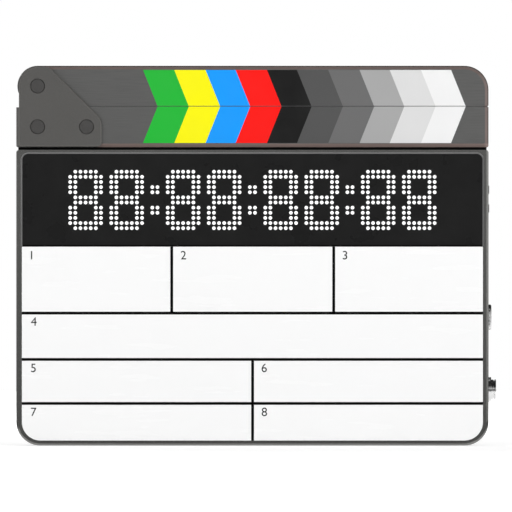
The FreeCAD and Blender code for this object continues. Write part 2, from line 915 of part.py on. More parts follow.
def bay_cuts():
    room = box(-bay_half_width, bay_half_width, bay_floor, pod_back + over, bay_bottom, bay_top)
    half = bay_half_width + door_seat
    rebate = box(-half, half, door_inside - sheet_gap, pod_back + over,
                 bay_bottom - door_seat, bay_top + over)
    channel = box(-half, half, door_axis_y - door_barrel_radius - moving_gap, pod_back + over,
                  bay_top, door_top + moving_gap)
    reach = door_pin_reach()
    pin = rod_x(-reach, reach, door_axis_y, door_axis_z, door_pin_radius + press_clearance)
    scoop = Part.makeSphere(scoop_radius, V(0, pod_back + scoop_radius - scoop_depth, door_bottom))
    return [room, rebate, channel, pin, scoop]


def pod_screw_holes():
    holes = [rod_y(main_board_back, main_board_back + board_screw_grip + over, x, z,
                   board_screw_radius + press_clearance) for x, z in main_post_points()]
    holes += [rod_y(pod_front - over, pod_front + pod_boss_length, x, z,
                    cover_screw_radius + press_clearance) for x, z in pod_boss_points()]
    return holes


def battery_pod():
    return join([pod_shell()] + pod_additions()).cut(bay_cuts() + pod_screw_holes())


def pod_screws():
    tip = pod_front + pod_boss_length - over
    head = cover_front - cover_screw_head_height
    return Part.makeCompound([screw_y(x, z, cover_front, head, tip,
                                      cover_screw_radius, cover_screw_head_radius)
                              for x, z in pod_boss_points()])


# Battery cells and door
def cell_positions():
    return [(i - (cell_count - 1) / 2) * cell_pitch for i in range(cell_count)]


def battery_cell(x, upward):
    low = bay_bottom + contact_space
    if upward:
        body = rod_z(low, low + cell_length, x, cell_y, cell_radius)
        nub = rod_z(low + cell_length, low + cell_length + nub_height, x, cell_y, nub_radius)
    else:
        body = rod_z(low + nub_height, low + nub_height + cell_length, x, cell_y, cell_radius)
        nub = rod_z(low, low + nub_height, x, cell_y, nub_radius)
    return join([body, nub])


def battery_cells():
    return Part.makeCompound([battery_cell(x, i % 2 == 0) for i, x in enumerate(cell_positions())])


def leaf_contact(x, wall_z, direction):
    """Bowed strip standing on an end wall of the bay and reaching towards a cell."""
    rise = contact_space - sheet_gap
    half = contact_width / 2
    foot = wall_z + direction * contact_thickness
    crown = wall_z + direction * rise
    points = [(-half, wall_z), (-half, foot), (-half / 2, foot), (-half / 4, crown), (half / 4, crown),
              (half / 2, foot), (half, foot), (half, wall_z)]
    edges = Part.makePolygon([V(x - half / 2, cell_y + y, z) for y, z in points + points[:1]])
    return Part.Face(edges).extrude(V(half, 0, 0))


def battery_contacts():
    leaves = []
    for x in cell_positions():
        leaves.append(leaf_contact(x, bay_bottom, 1))
        leaves.append(leaf_contact(x, bay_top, -1))
    return Part.makeCompound(leaves)


def battery_door():
    plate = box(-door_half_width, door_half_width, door_inside, pod_back, door_bottom, door_axis_z)
    barrel = rod_x(-door_half_width, door_half_width, door_axis_y, door_axis_z, door_barrel_radius)
    ribs = []
    for i in range(door_rib_count):
        z = door_bottom + scoop_radius + i * door_rib_pitch
        ribs.append(box(-door_rib_length / 2, door_rib_length / 2, pod_back - door_thickness / 2,
                        pod_back + door_rib_height, z - door_rib_width / 2, z + door_rib_width / 2))
    bore = rod_x(-door_half_width - over, door_half_width + over, door_axis_y, door_axis_z,
                 door_pin_radius + running_clearance)
    return join([plate, barrel] + ribs).cut(bore)


def door_pin_reach():
    return bay_half_width + door_seat + door_lug - door_pin_cap


def door_pin():
    reach = door_pin_reach()
    return rod_x(-reach, reach, door_axis_y, door_axis_z, door_pin_radius)


# Boards
def led_board():
    half = inner_half - ledge_width - slide_gap
    low = board_top + crossbar_height / 2 + slide_gap
    high = inner_top - ledge_width - slide_gap
    board = prism(rectangle(-half, half, low, high, 0.0, panel_corner), sheet_seat, led_board_back)
    socket = box(-connector_width / 2, connector_width / 2, led_board_back - pcb_thickness / 2,
                 led_board_back + connector_height, low, low + connector_length)
    return join([board, socket])


def main_board():
    board = box(-main_board_half_width, main_board_half_width, main_board_front, main_board_back,
                main_board_bottom, main_board_top)
    ribbon_back = led_board_back + connector_height + ribbon_thickness
    socket = box(-connector_width / 2, connector_width / 2, ribbon_back,
                 main_board_front + pcb_thickness / 2, main_board_top - connector_length, main_board_top)
    holes = [rod_y(main_board_front - over, main_board_back + over, x, z, board_screw_radius + sheet_gap)
             for x, z in main_post_points()]
    return join([board, socket]).cut(holes)


def main_board_chips():
    middle_z = (main_board_bottom + main_board_top) / 2
    chips = []
    for i in range(chip_count):
        x = (i - (chip_count - 1) / 2) * chip_pitch
        chips.append(box(x - chip_size / 2, x + chip_size / 2,
                         main_board_front - chip_height, main_board_front,
                         middle_z - chip_size / 2, middle_z + chip_size / 2))
    return Part.makeCompound(chips)


def ribbon_cable():
    front = led_board_back + connector_height
    low = main_board_top - connector_length
    high = board_top + crossbar_height / 2 + slide_gap + connector_length
    return box(-ribbon_width / 2, ribbon_width / 2, front, front + ribbon_thickness, low, high)


def control_board():
    board = box(-control_board_half_width, control_board_half_width, control_front, control_back,
                control_z - control_board_half_height, control_z + control_board_half_height)
    holes = [rod_y(control_front - over, control_back + over, x, z, board_screw_radius + sheet_gap)
             for x, z in control_post_points()]
    return board.cut(holes)


def board_screws():
    fittings = [(main_post_points(), main_board_front, main_board_back),
                (control_post_points(), control_front, control_back)]
    screws = []
    for points, front, back in fittings:
        for x, z in points:
            screws.append(screw_y(x, z, front, front - board_screw_head_height, back + board_screw_grip,
                                  board_screw_radius, board_screw_head_radius))
    return Part.makeCompound(screws)


# Controls on the back
def status_lens():
    half = status_width / 2
    back = frame_back - sheet_gap
    return box(-half, half, back - status_lens_thickness, back,
               control_z - status_height / 2, control_z + status_height / 2)


def status_display():
    half = status_width / 2
    back = cover_front - sheet_gap
    return box(-half, half, back - status_module_thickness, back,
               control_z - status_height / 2, control_z + status_height / 2)


def menu_dial():
    low = frame_back + dial_gap
    high = low + dial_height
    knob = rod_y(low, high, dial_x, control_z, dial_radius)
    knob = knob.makeChamfer(dial_edge_bevel, edges_at_y(knob, high))
    flutes = []
    for i in range(dial_flute_count):
        angle = 2 * math.pi * i / dial_flute_count
        orbit = dial_radius + dial_flute_radius / 2
        flutes.append(rod_y(low - over, high + over, dial_x + orbit * math.cos(angle),
                            control_z + orbit * math.sin(angle), dial_flute_radius))
    bore = rod_y(low - over, low + dial_height / 2, dial_x, control_z, encoder_shaft_radius + press_clearance)
    return knob.cut(flutes + [bore])


def encoder_shaft():
    return rod_y(control_back + pcb_thickness, frame_back + dial_gap + dial_height / 2, dial_x, control_z,
                 encoder_shaft_radius)


def encoder_body():
    half = encoder_size / 2
    block = box(dial_x - half, dial_x + half, control_back, cover_front - sheet_gap,
                control_z - half, control_z + half)
    bore = rod_y(control_back + pcb_thickness - moving_gap, cover_front, dial_x, control_z,
                 encoder_shaft_radius + running_clearance)
    return block.cut(bore)


def key(z):
    cap = rod_y(key_flange_front, frame_back + key_proud, key_x, z, key_radius)
    flange = rod_y(key_flange_front, key_flange_back, key_x, z, key_radius + key_flange)
    return join([cap, flange])


def key_switches():
    half = switch_size / 2
    switches = []
    for z in key_heights:
        body = box(key_x - half, key_x + half, control_back, switch_top_y - switch_plunger_height,
                   z - half, z + half)
        plunger = rod_y(control_back, switch_top_y, key_x, z, switch_plunger_radius)
        switches.append(join([body, plunger]))
    return Part.makeCompound(switches)


def power_knob():
    half = power_knob_height / 2
    x0 = power_x - power_knob_width / 2
    x1 = power_x + power_knob_width / 2
    inside = cover_front - running_clearance - power_flange
    stem = box(x0, x1, inside, frame_back + power_knob_proud, control_z - half, control_z + half)
    reach = half + power_flange
    flange = box(x0 - power_flange, x1 + power_flange, inside, cover_front - running_clearance,
                 control_z - reach, control_z + reach)
    return join([stem, flange])


def power_base():
    middle = power_x + power_travel / 2
    half = power_base_height / 2
    return box(middle - power_base_width / 2, middle + power_base_width / 2, control_back,
               cover_front - 2 * running_clearance - power_flange, control_z - half, control_z + half)


# Side buttons
def button_span(gap, z):
    """Depth and height limits of a side button, widened by a gap."""
    return (port_y - side_button_depth / 2 - gap, port_y + side_button_depth / 2 + gap,
            z - side_button_height / 2 - gap, z + side_button_height / 2 + gap)


def side_button(z):
    cap = box(button_flange_inside, half_width + side_button_proud, *button_span(0, z))
    flange = box(button_flange_inside, inner_half - running_clearance, *button_span(side_button_flange, z))
    return join([cap, flange])


def side_switches():
    half = side_switch_size / 2
    switches = []
    for z in side_button_heights:
        body = box(button_board_x, switch_face_x, port_y - half, port_y + half, z - half, z + half)
        plunger = rod_x(button_board_x, switch_top_x, port_y, z, side_plunger_radius)
        switches.append(join([body, plunger]))
    return Part.makeCompound(switches)


def button_board():
    high, low = side_post_levels()
    half = side_button_depth / 2
    return box(button_board_x - pcb_thickness, button_board_x, port_y - half, port_y + half,
               low - side_post_height / 2, high + side_post_height / 2)


# Ports on the right side
def jack_body():
    half = jack_body_size / 2
    mouth = half_width + jack_nut_proud - running_clearance
    block = box(port_board_x, inner_half - running_clearance, port_y - half, port_y + half,
                jack_z - half, jack_z + half)
    bush = rod_x(inner_half - over, mouth, port_y, jack_z, jack_bush_radius)
    bore = rod_x(mouth - jack_bore_length, mouth + over, port_y, jack_z, jack_bore_radius)
    return join([block, bush]).cut(bore)


def jack_nut():
    out = half_width + jack_nut_proud
    nut = rod_x(half_width, out, port_y, jack_z, jack_nut_radius)
    rim = [e for e in nut.Edges if all(abs(v.X - out) < 1e-6 for v in e.Vertexes)]
    nut = nut.makeChamfer(jack_nut_bevel, rim)
    return nut.cut(rod_x(half_width - over, out + over, port_y, jack_z, jack_bush_radius + press_clearance))


def plug_shell():
    flange_end = half_width + plug_flange_thickness
    mouth = flange_end + plug_collar_length
    body = rod_x(port_board_x, half_width, port_y, plug_z, plug_body_radius)
    flange = rod_x(half_width, flange_end, port_y, plug_z, plug_flange_radius)
    collar = rod_x(flange_end, mouth, port_y, plug_z, plug_collar_radius)
    groove_x = flange_end + plug_collar_length / 2
    groove = ring_x(groove_x, groove_x + plug_groove_width, port_y, plug_z, plug_flange_radius,
                    plug_collar_radius - plug_groove_depth)
    bore = rod_x(mouth - plug_bore_length, mouth + over, port_y, plug_z, plug_bore_radius)
    core_seat = rod_x(port_board_x - over, mouth, port_y, plug_z, plug_core_radius + press_clearance)
    return join([body, flange, collar]).cut([groove, bore, core_seat])


def plug_insulator():
    mouth = half_width + plug_flange_thickness + plug_collar_length
    face = mouth - plug_bore_length
    core = rod_x(port_board_x, face, port_y, plug_z, plug_core_radius)
    holes = []
    for i in range(plug_contact_count):
        angle = 2 * math.pi * i / plug_contact_count
        y = port_y + plug_contact_orbit * math.cos(angle)
        z = plug_z + plug_contact_orbit * math.sin(angle)
        holes.append(rod_x(face - plug_contact_depth, face + over, y, z, plug_contact_radius))
    return core.cut(holes)


def plug_nut():
    bore_radius = plug_body_radius + press_clearance
    return ring_x(inner_half - plug_nut_thickness, inner_half, port_y, plug_z, plug_nut_radius, bore_radius)


def usb_block(x0, x1, gap):
    """Rounded slot shape of the charging socket, widened by a gap."""
    half = usb_height / 2 + gap
    centre = usb_width / 2 - usb_height / 2
    middle = box(x0, x1, port_y - centre, port_y + centre, usb_z - half, usb_z + half)
    ends = [rod_x(x0, x1, port_y + sy * centre, usb_z, half) for sy in (-1, 1)]
    return join([middle] + ends)


def usb_socket():
    out = half_width - usb_recess
    shell = usb_block(port_board_x, out, 0)
    floor = out - usb_tongue_recess - usb_tongue_length
    hollow = usb_block(floor, out + over, -usb_shell)
    half = usb_tongue_width / 2
    tongue = box(floor - usb_shell, out - usb_tongue_recess, port_y - half, port_y + half,
                 usb_z - usb_tongue_height / 2, usb_z + usb_tongue_height / 2)
    return join([shell.cut(hollow), tongue])


def port_board():
    half = port_board_depth / 2
    return box(port_board_x - pcb_thickness, port_board_x, port_y - half, port_y + half,
               port_board_bottom, port_board_top)


# Tripod sockets
def tripod_socket(x):
    body = rod_z(0, socket_length, x, 0, socket_radius)
    flange = rod_z(0, socket_flange_thickness, x, 0, socket_flange_radius)
    return join([body, flange]).cut(rod_z(-over, socket_depth, x, 0, socket_thread_radius))


def tripod_sockets():
    return Part.makeCompound([tripod_socket(-socket_x), tripod_socket(socket_x)])


nodes = {
    "front_frame": front_frame(),
    "writing_board": writing_board(),
    "display_panel": display_panel(),
    "led_dots": led_dots(),
    "led_board": led_board(),
    "upper_stick": upper_stick(),
    "upper_stripes": Part.makeCompound(upper_tiles()),
    "lower_stick": lower_stick(),
    "lower_stripes": Part.makeCompound(lower_tiles()),
    "stick_rail": stick_rail(),
    "stick_screws": stick_screws(),
    "front_hinge_plate": hinge_plate(-1),
    "rear_hinge_plate": rear_hinge_plate(),
    "plate_rivets": plate_rivets(),
    "pivot_rivet": pivot_rivet(),
    "pivot_bush": pivot_bush(),
    "thrust_washers": thrust_washers(),
    "stop_pin": stop_pin(),
    "upper_magnets": upper_magnets(),
    "lower_magnets": lower_magnets(),
    "rear_cover": rear_cover(),
    "cover_screws": cover_screws(),
    "battery_pod": battery_pod(),
    "pod_screws": pod_screws(),
    "grip_pads": grip_pads(),
    "battery_cells": battery_cells(),
    "battery_contacts": battery_contacts(),
    "battery_door": battery_door(),
    "door_pin": door_pin(),
    "main_board": main_board(),
    "main_board_chips": main_board_chips(),
    "ribbon_cable": ribbon_cable(),
    "control_board": control_board(),
    "board_screws": board_screws(),
    "status_lens": status_lens(),
    "status_display": status_display(),
    "menu_dial": menu_dial(),
    "encoder_shaft": encoder_shaft(),
    "encoder_body": encoder_body(),
    "upper_key": key(key_heights[0]),
    "lower_key": key(key_heights[1]),
    "key_switches": key_switches(),
    "power_knob": power_knob(),
    "power_base": power_base(),
    "upper_side_button": side_button(side_button_heights[0]),
    "lower_side_button": side_button(side_button_heights[1]),
    "side_switches": side_switches(),
    "button_board": button_board(),
    "jack_body": jack_body(),
    "jack_nut": jack_nut(),
    "plug_shell": plug_shell(),
    "plug_insulator": plug_insulator(),
    "plug_nut": plug_nut(),
    "usb_socket": usb_socket(),
    "port_board": port_board(),
    "tripod_sockets": tripod_sockets(),
}

os.makedirs("parts", exist_ok=True)
for name, shape in nodes.items():
    shape.exportStep("parts/" + name + ".step")
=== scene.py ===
import math

import bmesh
import bpy
from mathutils import Matrix, Vector


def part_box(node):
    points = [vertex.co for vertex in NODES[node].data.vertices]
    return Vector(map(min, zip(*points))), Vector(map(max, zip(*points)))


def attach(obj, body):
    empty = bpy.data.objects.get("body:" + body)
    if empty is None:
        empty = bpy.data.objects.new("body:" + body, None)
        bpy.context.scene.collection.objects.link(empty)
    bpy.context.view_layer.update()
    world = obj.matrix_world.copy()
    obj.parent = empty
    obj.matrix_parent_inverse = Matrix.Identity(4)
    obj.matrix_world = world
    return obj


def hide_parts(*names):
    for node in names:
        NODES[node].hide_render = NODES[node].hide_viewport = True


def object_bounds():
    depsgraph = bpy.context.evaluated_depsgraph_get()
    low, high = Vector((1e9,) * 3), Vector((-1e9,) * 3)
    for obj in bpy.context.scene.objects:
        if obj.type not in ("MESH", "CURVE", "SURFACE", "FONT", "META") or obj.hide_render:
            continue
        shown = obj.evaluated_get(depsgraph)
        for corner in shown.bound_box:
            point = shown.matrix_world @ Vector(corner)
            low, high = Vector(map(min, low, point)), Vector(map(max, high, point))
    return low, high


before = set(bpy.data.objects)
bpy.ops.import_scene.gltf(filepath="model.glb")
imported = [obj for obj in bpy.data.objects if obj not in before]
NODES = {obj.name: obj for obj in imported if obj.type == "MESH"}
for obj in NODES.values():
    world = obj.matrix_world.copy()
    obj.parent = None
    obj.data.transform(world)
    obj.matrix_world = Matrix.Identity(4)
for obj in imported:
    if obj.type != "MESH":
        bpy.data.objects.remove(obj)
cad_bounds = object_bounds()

# The looks of the clapperboard, in metres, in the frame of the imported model

MM = 0.001
ALONG, DEPTH, UP = range(3)
QUARTER_TURN = math.pi / 2
FULL_TURN = 2 * math.pi

# Photograph: its width in metres at the object, and the point that its middle shows
VIEW_WIDTH = 0.27097
VIEW_CENTRE_X = 0.0019
VIEW_CENTRE_Z = 0.1004
LENS_MM = 1000.0
SENSOR_MM = 36.0
CAMERA_REACH = 100.0

# Printing on the writing board
LINE_WIDTH = 1.5 * MM
SEAM_HEIGHT = 0.85 * MM
PRINT_PROUD = 0.03 * MM
PRINT_DEPTH = 0.1 * MM
LINE_LEVELS = (70.18 * MM, 45.66 * MM, 22.37 * MM)
UPPER_DIVIDERS = (-42.7 * MM, 43.04 * MM)
LOWER_DIVIDER = 0.1 * MM
NUMBER_HEIGHT = 4.5 * MM
NUMBER_LEFT = 4.8 * MM
NUMBER_DROP = 2.2 * MM
CAP_SHARE = 0.69

# Sticks
STRIPE_SLANT = 0.4
# Height of the painted shade of the slit, a grey band on the upper stick just above the parting line
PARTING_SHADE_BAND = 0.35 * MM
UPPER_RIM_START = -110 * MM
LOWER_RIM_START = -82 * MM
RIM_DEPTH = 1.2 * MM
# Height of the rim at the foot of the lower stick that is painted paler as a highlight
LIT_FOOT_HEIGHT = 1.95 * MM
# Where the painted shade along the rim's outer edge starts inside the bevel, and how far it reaches past
# that
RIM_LINE_DEPTH = 0.35 * MM
EDGE_SHADE_REACH = 0.9 * MM
RIM_METALLIC = 0.15
STICK_METALLIC = 0.45

# Bevel round the display and the hinge plates, which is painted paler as a highlight
BEVEL_REACH = 1.0 * MM
BEVEL_METALLIC = 0.15
BEVEL_FULL = 0.9

# Edges that the shading rounds, and the cosine of their turn where wear starts and is full
METAL_EDGE = 0.2 * MM
EDGE_SAMPLES = 4
WEAR_START = 0.995
WEAR_FULL = 0.9

# Most of a noise lies between these
NOISE_LOW = 0.3
NOISE_HIGH = 0.7

# Sockets of the Mix node for colours, which share their names with others
MIX_FACTOR = 0
MIX_FIRST = 6
MIX_SECOND = 7
MIX_RESULT = 2

# Points closer than this are one, and edges between faces at more than this angle stay sharp
WELD = 0.001 * MM
SHARP_ANGLE = math.radians(32)

# Cover screws with a hexagon socket
SCREW_SIDES = 48
SCREW_HEAD_HEIGHT = 1.1 * MM
SHANK_RADIUS = 1.2 * MM
SCREW_POINT = 1.0 * MM
SCREW_CROWN = 0.45 * MM
SOCKET_FLATS = 1.7 * MM
SOCKET_DEPTH = 0.75 * MM
SOCKET_MOUTH = 0.12 * MM

# Ring nut of the jack
KNURL_COUNT = 60
KNURL_STEPS = 4
KNURL_DEPTH = 0.22 * MM
NUT_BORE = 3.03 * MM
NUT_BEVEL = 0.5 * MM
NUT_MOUTH = 0.25 * MM

# Threads of the tripod sockets
THREAD_SIDES = 48
THREAD_MINOR = 2.6 * MM
THREAD_MAJOR = 3.15 * MM
THREAD_PITCH = 1.27 * MM
THREAD_STEPS = 8
THREAD_LENGTH = 9.0 * MM
TRIPOD_BORE = 10.0 * MM
TRIPOD_BODY_RADIUS = 4.8 * MM
TRIPOD_FLANGE = 1.0 * MM
TRIPOD_MOUTH_RADIUS = 3.5 * MM
TRIPOD_EDGE = 0.2 * MM

# Contacts of the round connector and of the charging socket
PIN_COUNT = 5
PIN_ORBIT = 1.9 * MM
PIN_RADIUS = 0.38 * MM
PIN_BORE = 0.24 * MM
PIN_LENGTH = 2.6 * MM
PIN_BORE_DEPTH = 1.8 * MM
PIN_PROUD = 0.12 * MM
PIN_SIDES = 20
TONGUE_RECESS = 1.0 * MM
TONGUE_LENGTH = 4.5 * MM
TONGUE_WIDTH = 6.4 * MM
TONGUE_HEIGHT = 0.7 * MM
TONGUE_SLEEVE = 0.06 * MM
TONGUE_NOSE = 0.25 * MM
CONTACT_COUNT = 12
CONTACT_PITCH = 0.5 * MM
CONTACT_WIDTH = 0.26 * MM
CONTACT_START = 0.35 * MM
CONTACT_LENGTH = 2.8 * MM
CONTACT_PROUD = 0.03 * MM

# Marks on the controls
MARK_PROUD = 0.05 * MM
MARK_DEPTH = 0.05 * MM
ROUND_STEPS = 6
DIAL_MARK_INNER = 4.6 * MM
DIAL_MARK_OUTER = 8.6 * MM
DIAL_MARK_WIDTH = 1.1 * MM
KEY_MARK_RADIUS = 1.7 * MM
KEY_MARK_CORNERS = 3
KNOB_RIB_COUNT = 4
KNOB_RIB_PITCH = 1.05 * MM
KNOB_RIB_WIDTH = 0.5 * MM
KNOB_RIB_HEIGHT = 0.25 * MM
KNOB_RIB_INSET = 0.5 * MM
KNOB_FLANGE = 1.4 * MM
KNOB_TRAVEL = 4.0 * MM
SWITCH_NUMBER_HEIGHT = 2.6 * MM
SWITCH_NUMBER_RISE = 3.6 * MM

# Readout of the status display
READOUT_TEXT = "00:00:00:00"
READOUT_HEIGHT = 4.6 * MM
READOUT_DROP = 1.2 * MM
READOUT_BARS = 4
READOUT_BAR_WIDTH = 1.3 * MM
READOUT_BAR_HEIGHT = 2.0 * MM
READOUT_BAR_PITCH = 1.8 * MM
READOUT_SIDE = 17.5 * MM
READOUT_TOP = 6.2 * MM
READOUT_RULE_HEIGHT = 0.35 * MM
READOUT_RULE_DROP = 5.2 * MM

# Lenses of the light dots
DOT_RADIUS = 0.98 * MM
DOT_SIDES = 16
DOT_RINGS = 4

# Lamps: each one's name, place, width, power, and whether polished surfaces mirror it
LAMP_TARGET = (0.0, 0.0, 0.1)
LAMPS = (
    ("key", (0.7, -1.5, 0.4), 0.9, 3.9, False),
    ("side", (0.98, -0.75, 0.15), 1.2, 5.6, True),
    ("fill", (-0.7, -1.5, 0.3), 0.9, 10.1, False),
    ("rear", (-0.4, 1.4, 0.9), 1.0, 9.0, True),
)

# Even light, and the dark parts of the room that reflections show: the direction of each one's middle,
# the shares of a direction along that at which it starts and is full, and its level
WORLD_LEVEL = 0.45
CEILING = ((0.0, 0.0, 1.0), 0.15, 0.45, 0.03)
LEFT_WALL = ((-0.95, 0.31, 0.0), 0.65, 0.85, 0.45)
ROOM_FRONT = ((0.0, -1.0, 0.0), 0.65, 0.92, 0.6)

# Floor: it glows more further off, and reflections show it darker to the left and at a grazing angle
FLOOR_HALF = 3.0
FLOOR_NEAR = 0.3
FLOOR_FAR = 1.2
FLOOR_GLOW = 0.45
FLOOR_SHADE_START = -0.17
FLOOR_SHADE_FULL = -0.27
FLOOR_SHADE_LEVEL = 0.4
GRAZING_DARK = 0.85
GRAZING_LIT = 0.55


# Colours
def linear(value):
    """One channel of a display colour, 0 to 255, as linear light by the sRGB curve."""
    share = value / 255
    return share / 12.92 if share <= 0.04045 else ((share + 0.055) / 1.055) ** 2.4


def colour(red, green, blue):
    return (linear(red), linear(green), linear(blue), 1.0)


def grey(level):
    return colour(level, level, level)


def scaled(base, factor, lift=0.0):
    """A colour whose channels are multiplied and then lifted, up to white."""
    return tuple(min(1.0, factor * c + lift) for c in base[:3]) + (1.0,)


WHITE = grey(255)
STRIPE_COLOURS = (
    colour(40, 186, 60), colour(254, 248, 20), colour(28, 158, 255), colour(255, 28, 24), grey(29),
    grey(86), grey(110), grey(170), grey(223), grey(243),
)
# Painted shade of the slit between the sticks, along the parting line
PARTING_SHADE_GREY = grey(88)
TILE_MOTTLE = grey(120)
STICK_GREY = colour(101, 101, 100)
# Grey of the rim by the hinge plates, painted a little paler than the stick as a highlight
PLATE_RIM_HIGHLIT = colour(110, 109, 107)
BRONZE_RIM = colour(117, 104, 100)
# Rim at the foot of the lower stick, painted paler as a highlight
LIT_FOOT_COLOUR = colour(140, 123, 118)
# Painted shade along the outer edge of the sticks' rim
EDGE_SHADE_COLOUR = colour(44, 37, 35)
FLOOR_PALE = grey(236)
FLOOR_DARK = grey(20)


# Materials
class Nodes:
    """A node tree, with short ways to add nodes and join them."""

    def __init__(self, tree):
        self.tree = tree

    def feed(self, socket, value):
        """Links an output to a socket, or sets a plain value on it."""
        if isinstance(value, bpy.types.NodeSocket):
            self.tree.links.new(value, socket)
        else:
            socket.default_value = value

    def add(self, kind, inputs=None, **settings):
        """A new node with its settings, whose sockets are fed by name or number."""
        node = self.tree.nodes.new(kind)
        for key, value in settings.items():
            setattr(node, key, value)
        for key, value in (inputs or {}).items():
            self.feed(node.inputs[key], value)
        return node

    def math(self, operation, *values):
        return self.add("ShaderNodeMath", dict(enumerate(values)), operation=operation).outputs[0]

    def vectors(self, operation, *values):
        return self.add("ShaderNodeVectorMath", dict(enumerate(values)), operation=operation).outputs

    def axes(self, vector):
        return tuple(self.add("ShaderNodeSeparateXYZ", {0: vector}).outputs)

    def span(self, value, low, high, to_low=0.0, to_high=1.0, fade="LINEAR"):
        """Takes a value between low and high to between two others, and holds it there beyond."""
        inputs = {"Value": value, "From Min": low, "From Max": high, "To Min": to_low, "To Max": to_high}
        node = self.add("ShaderNodeMapRange", inputs, clamp=True, interpolation_type=fade)
        return node.outputs["Result"]

    def every(self, first, *others):
        """One where all the masks are one, and nothing where any is nothing."""
        for other in others:
            first = self.math("MULTIPLY", first, other)
        return first


class Look(Nodes):
    """A material round one principled shader, with coordinates in metres in the frame of the model."""

    def __init__(self, name, base, roughness, metallic=0.0, specular=0.5):
        self.material = bpy.data.materials.new(name + "_finish")
        self.material.use_nodes = True
        super().__init__(self.material.node_tree)
        self.shader = self.tree.nodes["Principled BSDF"]
        self.paint(base)
        self.set("Roughness", roughness)
        self.set("Metallic", metallic)
        self.set("Specular IOR Level", specular)
        coordinates = self.add("ShaderNodeTexCoord")
        self.place = coordinates.outputs["Object"]
        self.normal = coordinates.outputs["Normal"]

    def set(self, name, value):
        self.feed(self.shader.inputs[name], value)

    def paint(self, colours):
        self.set("Base Color", colours)

    def noise(self, size, detail=3.0, stretch=(1, 1, 1)):
        """Noise with features of about a size in metres, and coordinates multiplied by the stretch."""
        place = self.vectors("MULTIPLY", self.place, stretch)["Vector"]
        inputs = {"Vector": place, "Scale": 1.0 / size, "Detail": detail}
        return self.add("ShaderNodeTexNoise", inputs).outputs["Fac"]

    def patches(self, value, start=NOISE_LOW, full=NOISE_HIGH, most=1.0):
        """Nothing up to a start, and then rising to the most where the value is full."""
        return self.span(value, start, full, 0.0, most)

    def blend(self, factor, first, second):
        inputs = {MIX_FACTOR: factor, MIX_FIRST: first, MIX_SECOND: second}
        return self.add("ShaderNodeMix", inputs, data_type="RGBA").outputs[MIX_RESULT]

    def shade(self, base, value, depth):
        """The base colour, made darker or lighter by up to the depth as a value goes from 0 to 1."""
        return self.blend(value, scaled(base, 1 - depth), scaled(base, 1 + depth))

    def mottled(self, base, slow, fine, depth):
        """The base colour with a slow drift of tone and a fine grain, each of half the depth."""
        both = self.math("ADD", slow, self.patches(fine))
        return self.shade(base, self.math("MULTIPLY", both, 0.5), depth)

    def bands(self, value, colours):
        """Equal bands of colour as a value goes from 0 to 1."""
        node = self.add("ShaderNodeValToRGB", {"Fac": value})
        node.color_ramp.interpolation = "CONSTANT"
        stops = node.color_ramp.elements
        stops[0].color = colours[0]
        stops.remove(stops[1])
        for i in range(1, len(colours)):
            stops.new(i / len(colours)).color = colours[i]
        return node.outputs["Color"]

    def rounded(self, radius):
        return self.add("ShaderNodeBevel", {"Radius": radius}, samples=EDGE_SAMPLES).outputs["Normal"]

    def wear(self, normal, size, start, full):
        """Patches of about a size on sharp edges, where the rounded normal leaves the face's own."""
        own = self.add("ShaderNodeNewGeometry").outputs["Normal"]
        turned = self.vectors("DOT_PRODUCT", normal, own)["Value"]
        edges = self.span(turned, WEAR_START, WEAR_FULL)
        return self.every(edges, self.patches(self.noise(size, detail=4.0), start, full))

    def bevelled(self, start):
        """One on faces that slant away from the front and back, past a start."""
        facing = self.math("ABSOLUTE", self.axes(self.normal)[DEPTH])
        return self.span(facing, start, BEVEL_FULL)

    def roughen(self, value, least, most, spread=0.2):
        """Roughness from least to most, as a value goes over the spread on both sides of a half."""
        self.set("Roughness", self.span(value, 0.5 - spread, 0.5 + spread, least, most))

    def relief(self, height, depth, normal=None):
        """Bump of the given depth in metres from a height of 0 to 1."""
        inputs = {"Height": height, "Distance": depth}
        if normal is not None:
            inputs["Normal"] = normal
        self.set("Normal", self.add("ShaderNodeBump", inputs).outputs["Normal"])


def anodised(name, base, worn, bevel, limits, roughness, metallic, grain):
    """Satin anodised metal with a fine blasted grain, a slow drift of tone and paler worn edges.

    Bevelled faces within the limits, to the side, below and above, take a paler colour of their own as a
    painted highlight.
    """
    look = Look(name, base, roughness, metallic, specular=0.3)
    normal = look.rounded(METAL_EDGE)
    speckle = look.noise(0.35 * MM, detail=2.0)
    tone = look.mottled(base, look.noise(40 * MM), speckle, depth=0.16)
    tone = look.blend(look.wear(normal, size=3 * MM, start=0.35, full=0.7), tone, worn)
    side, low, high = limits
    along, _, up = look.axes(look.place)
    bevel_highlight_mask = look.every(
        look.math("LESS_THAN", look.math("ABSOLUTE", along), side),
        look.math("GREATER_THAN", up, low),
        look.math("LESS_THAN", up, high),
        look.bevelled(start=0.98),
    )
    # Paints the highlight on the bevel
    look.paint(look.blend(bevel_highlight_mask, tone, bevel))
    look.set("Metallic", look.span(bevel_highlight_mask, 0.0, 1.0, metallic, BEVEL_METALLIC))
    look.roughen(speckle, least=roughness - 0.06, most=roughness + 0.06, spread=0.3)
    look.relief(speckle, grain, normal)
    return look


def frame_metal():
    """Metal of the frame, with a painted highlight on the bevel round the display."""
    low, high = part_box("display_panel")
    limits = (high.x + BEVEL_REACH, low.z, high.z + BEVEL_REACH)
    # The third colour is the painted highlight on the bevel
    return anodised("frame_metal", colour(113, 113, 111), colour(132, 132, 130), grey(118), limits,
                    roughness=0.22, metallic=0.85, grain=0.006 * MM)


def hinge_metal():
    """Metal of the hinge plates, with a painted highlight on the bevel round them."""
    low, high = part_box("front_hinge_plate")
    limits = (-low.x, low.z, high.z)
    # The third colour is the painted highlight on the bevel
    return anodised("hinge_metal", colour(91, 90, 88), colour(118, 116, 113), colour(112, 110, 107), limits,
                    roughness=0.45, metallic=0.25, grain=0.005 * MM)


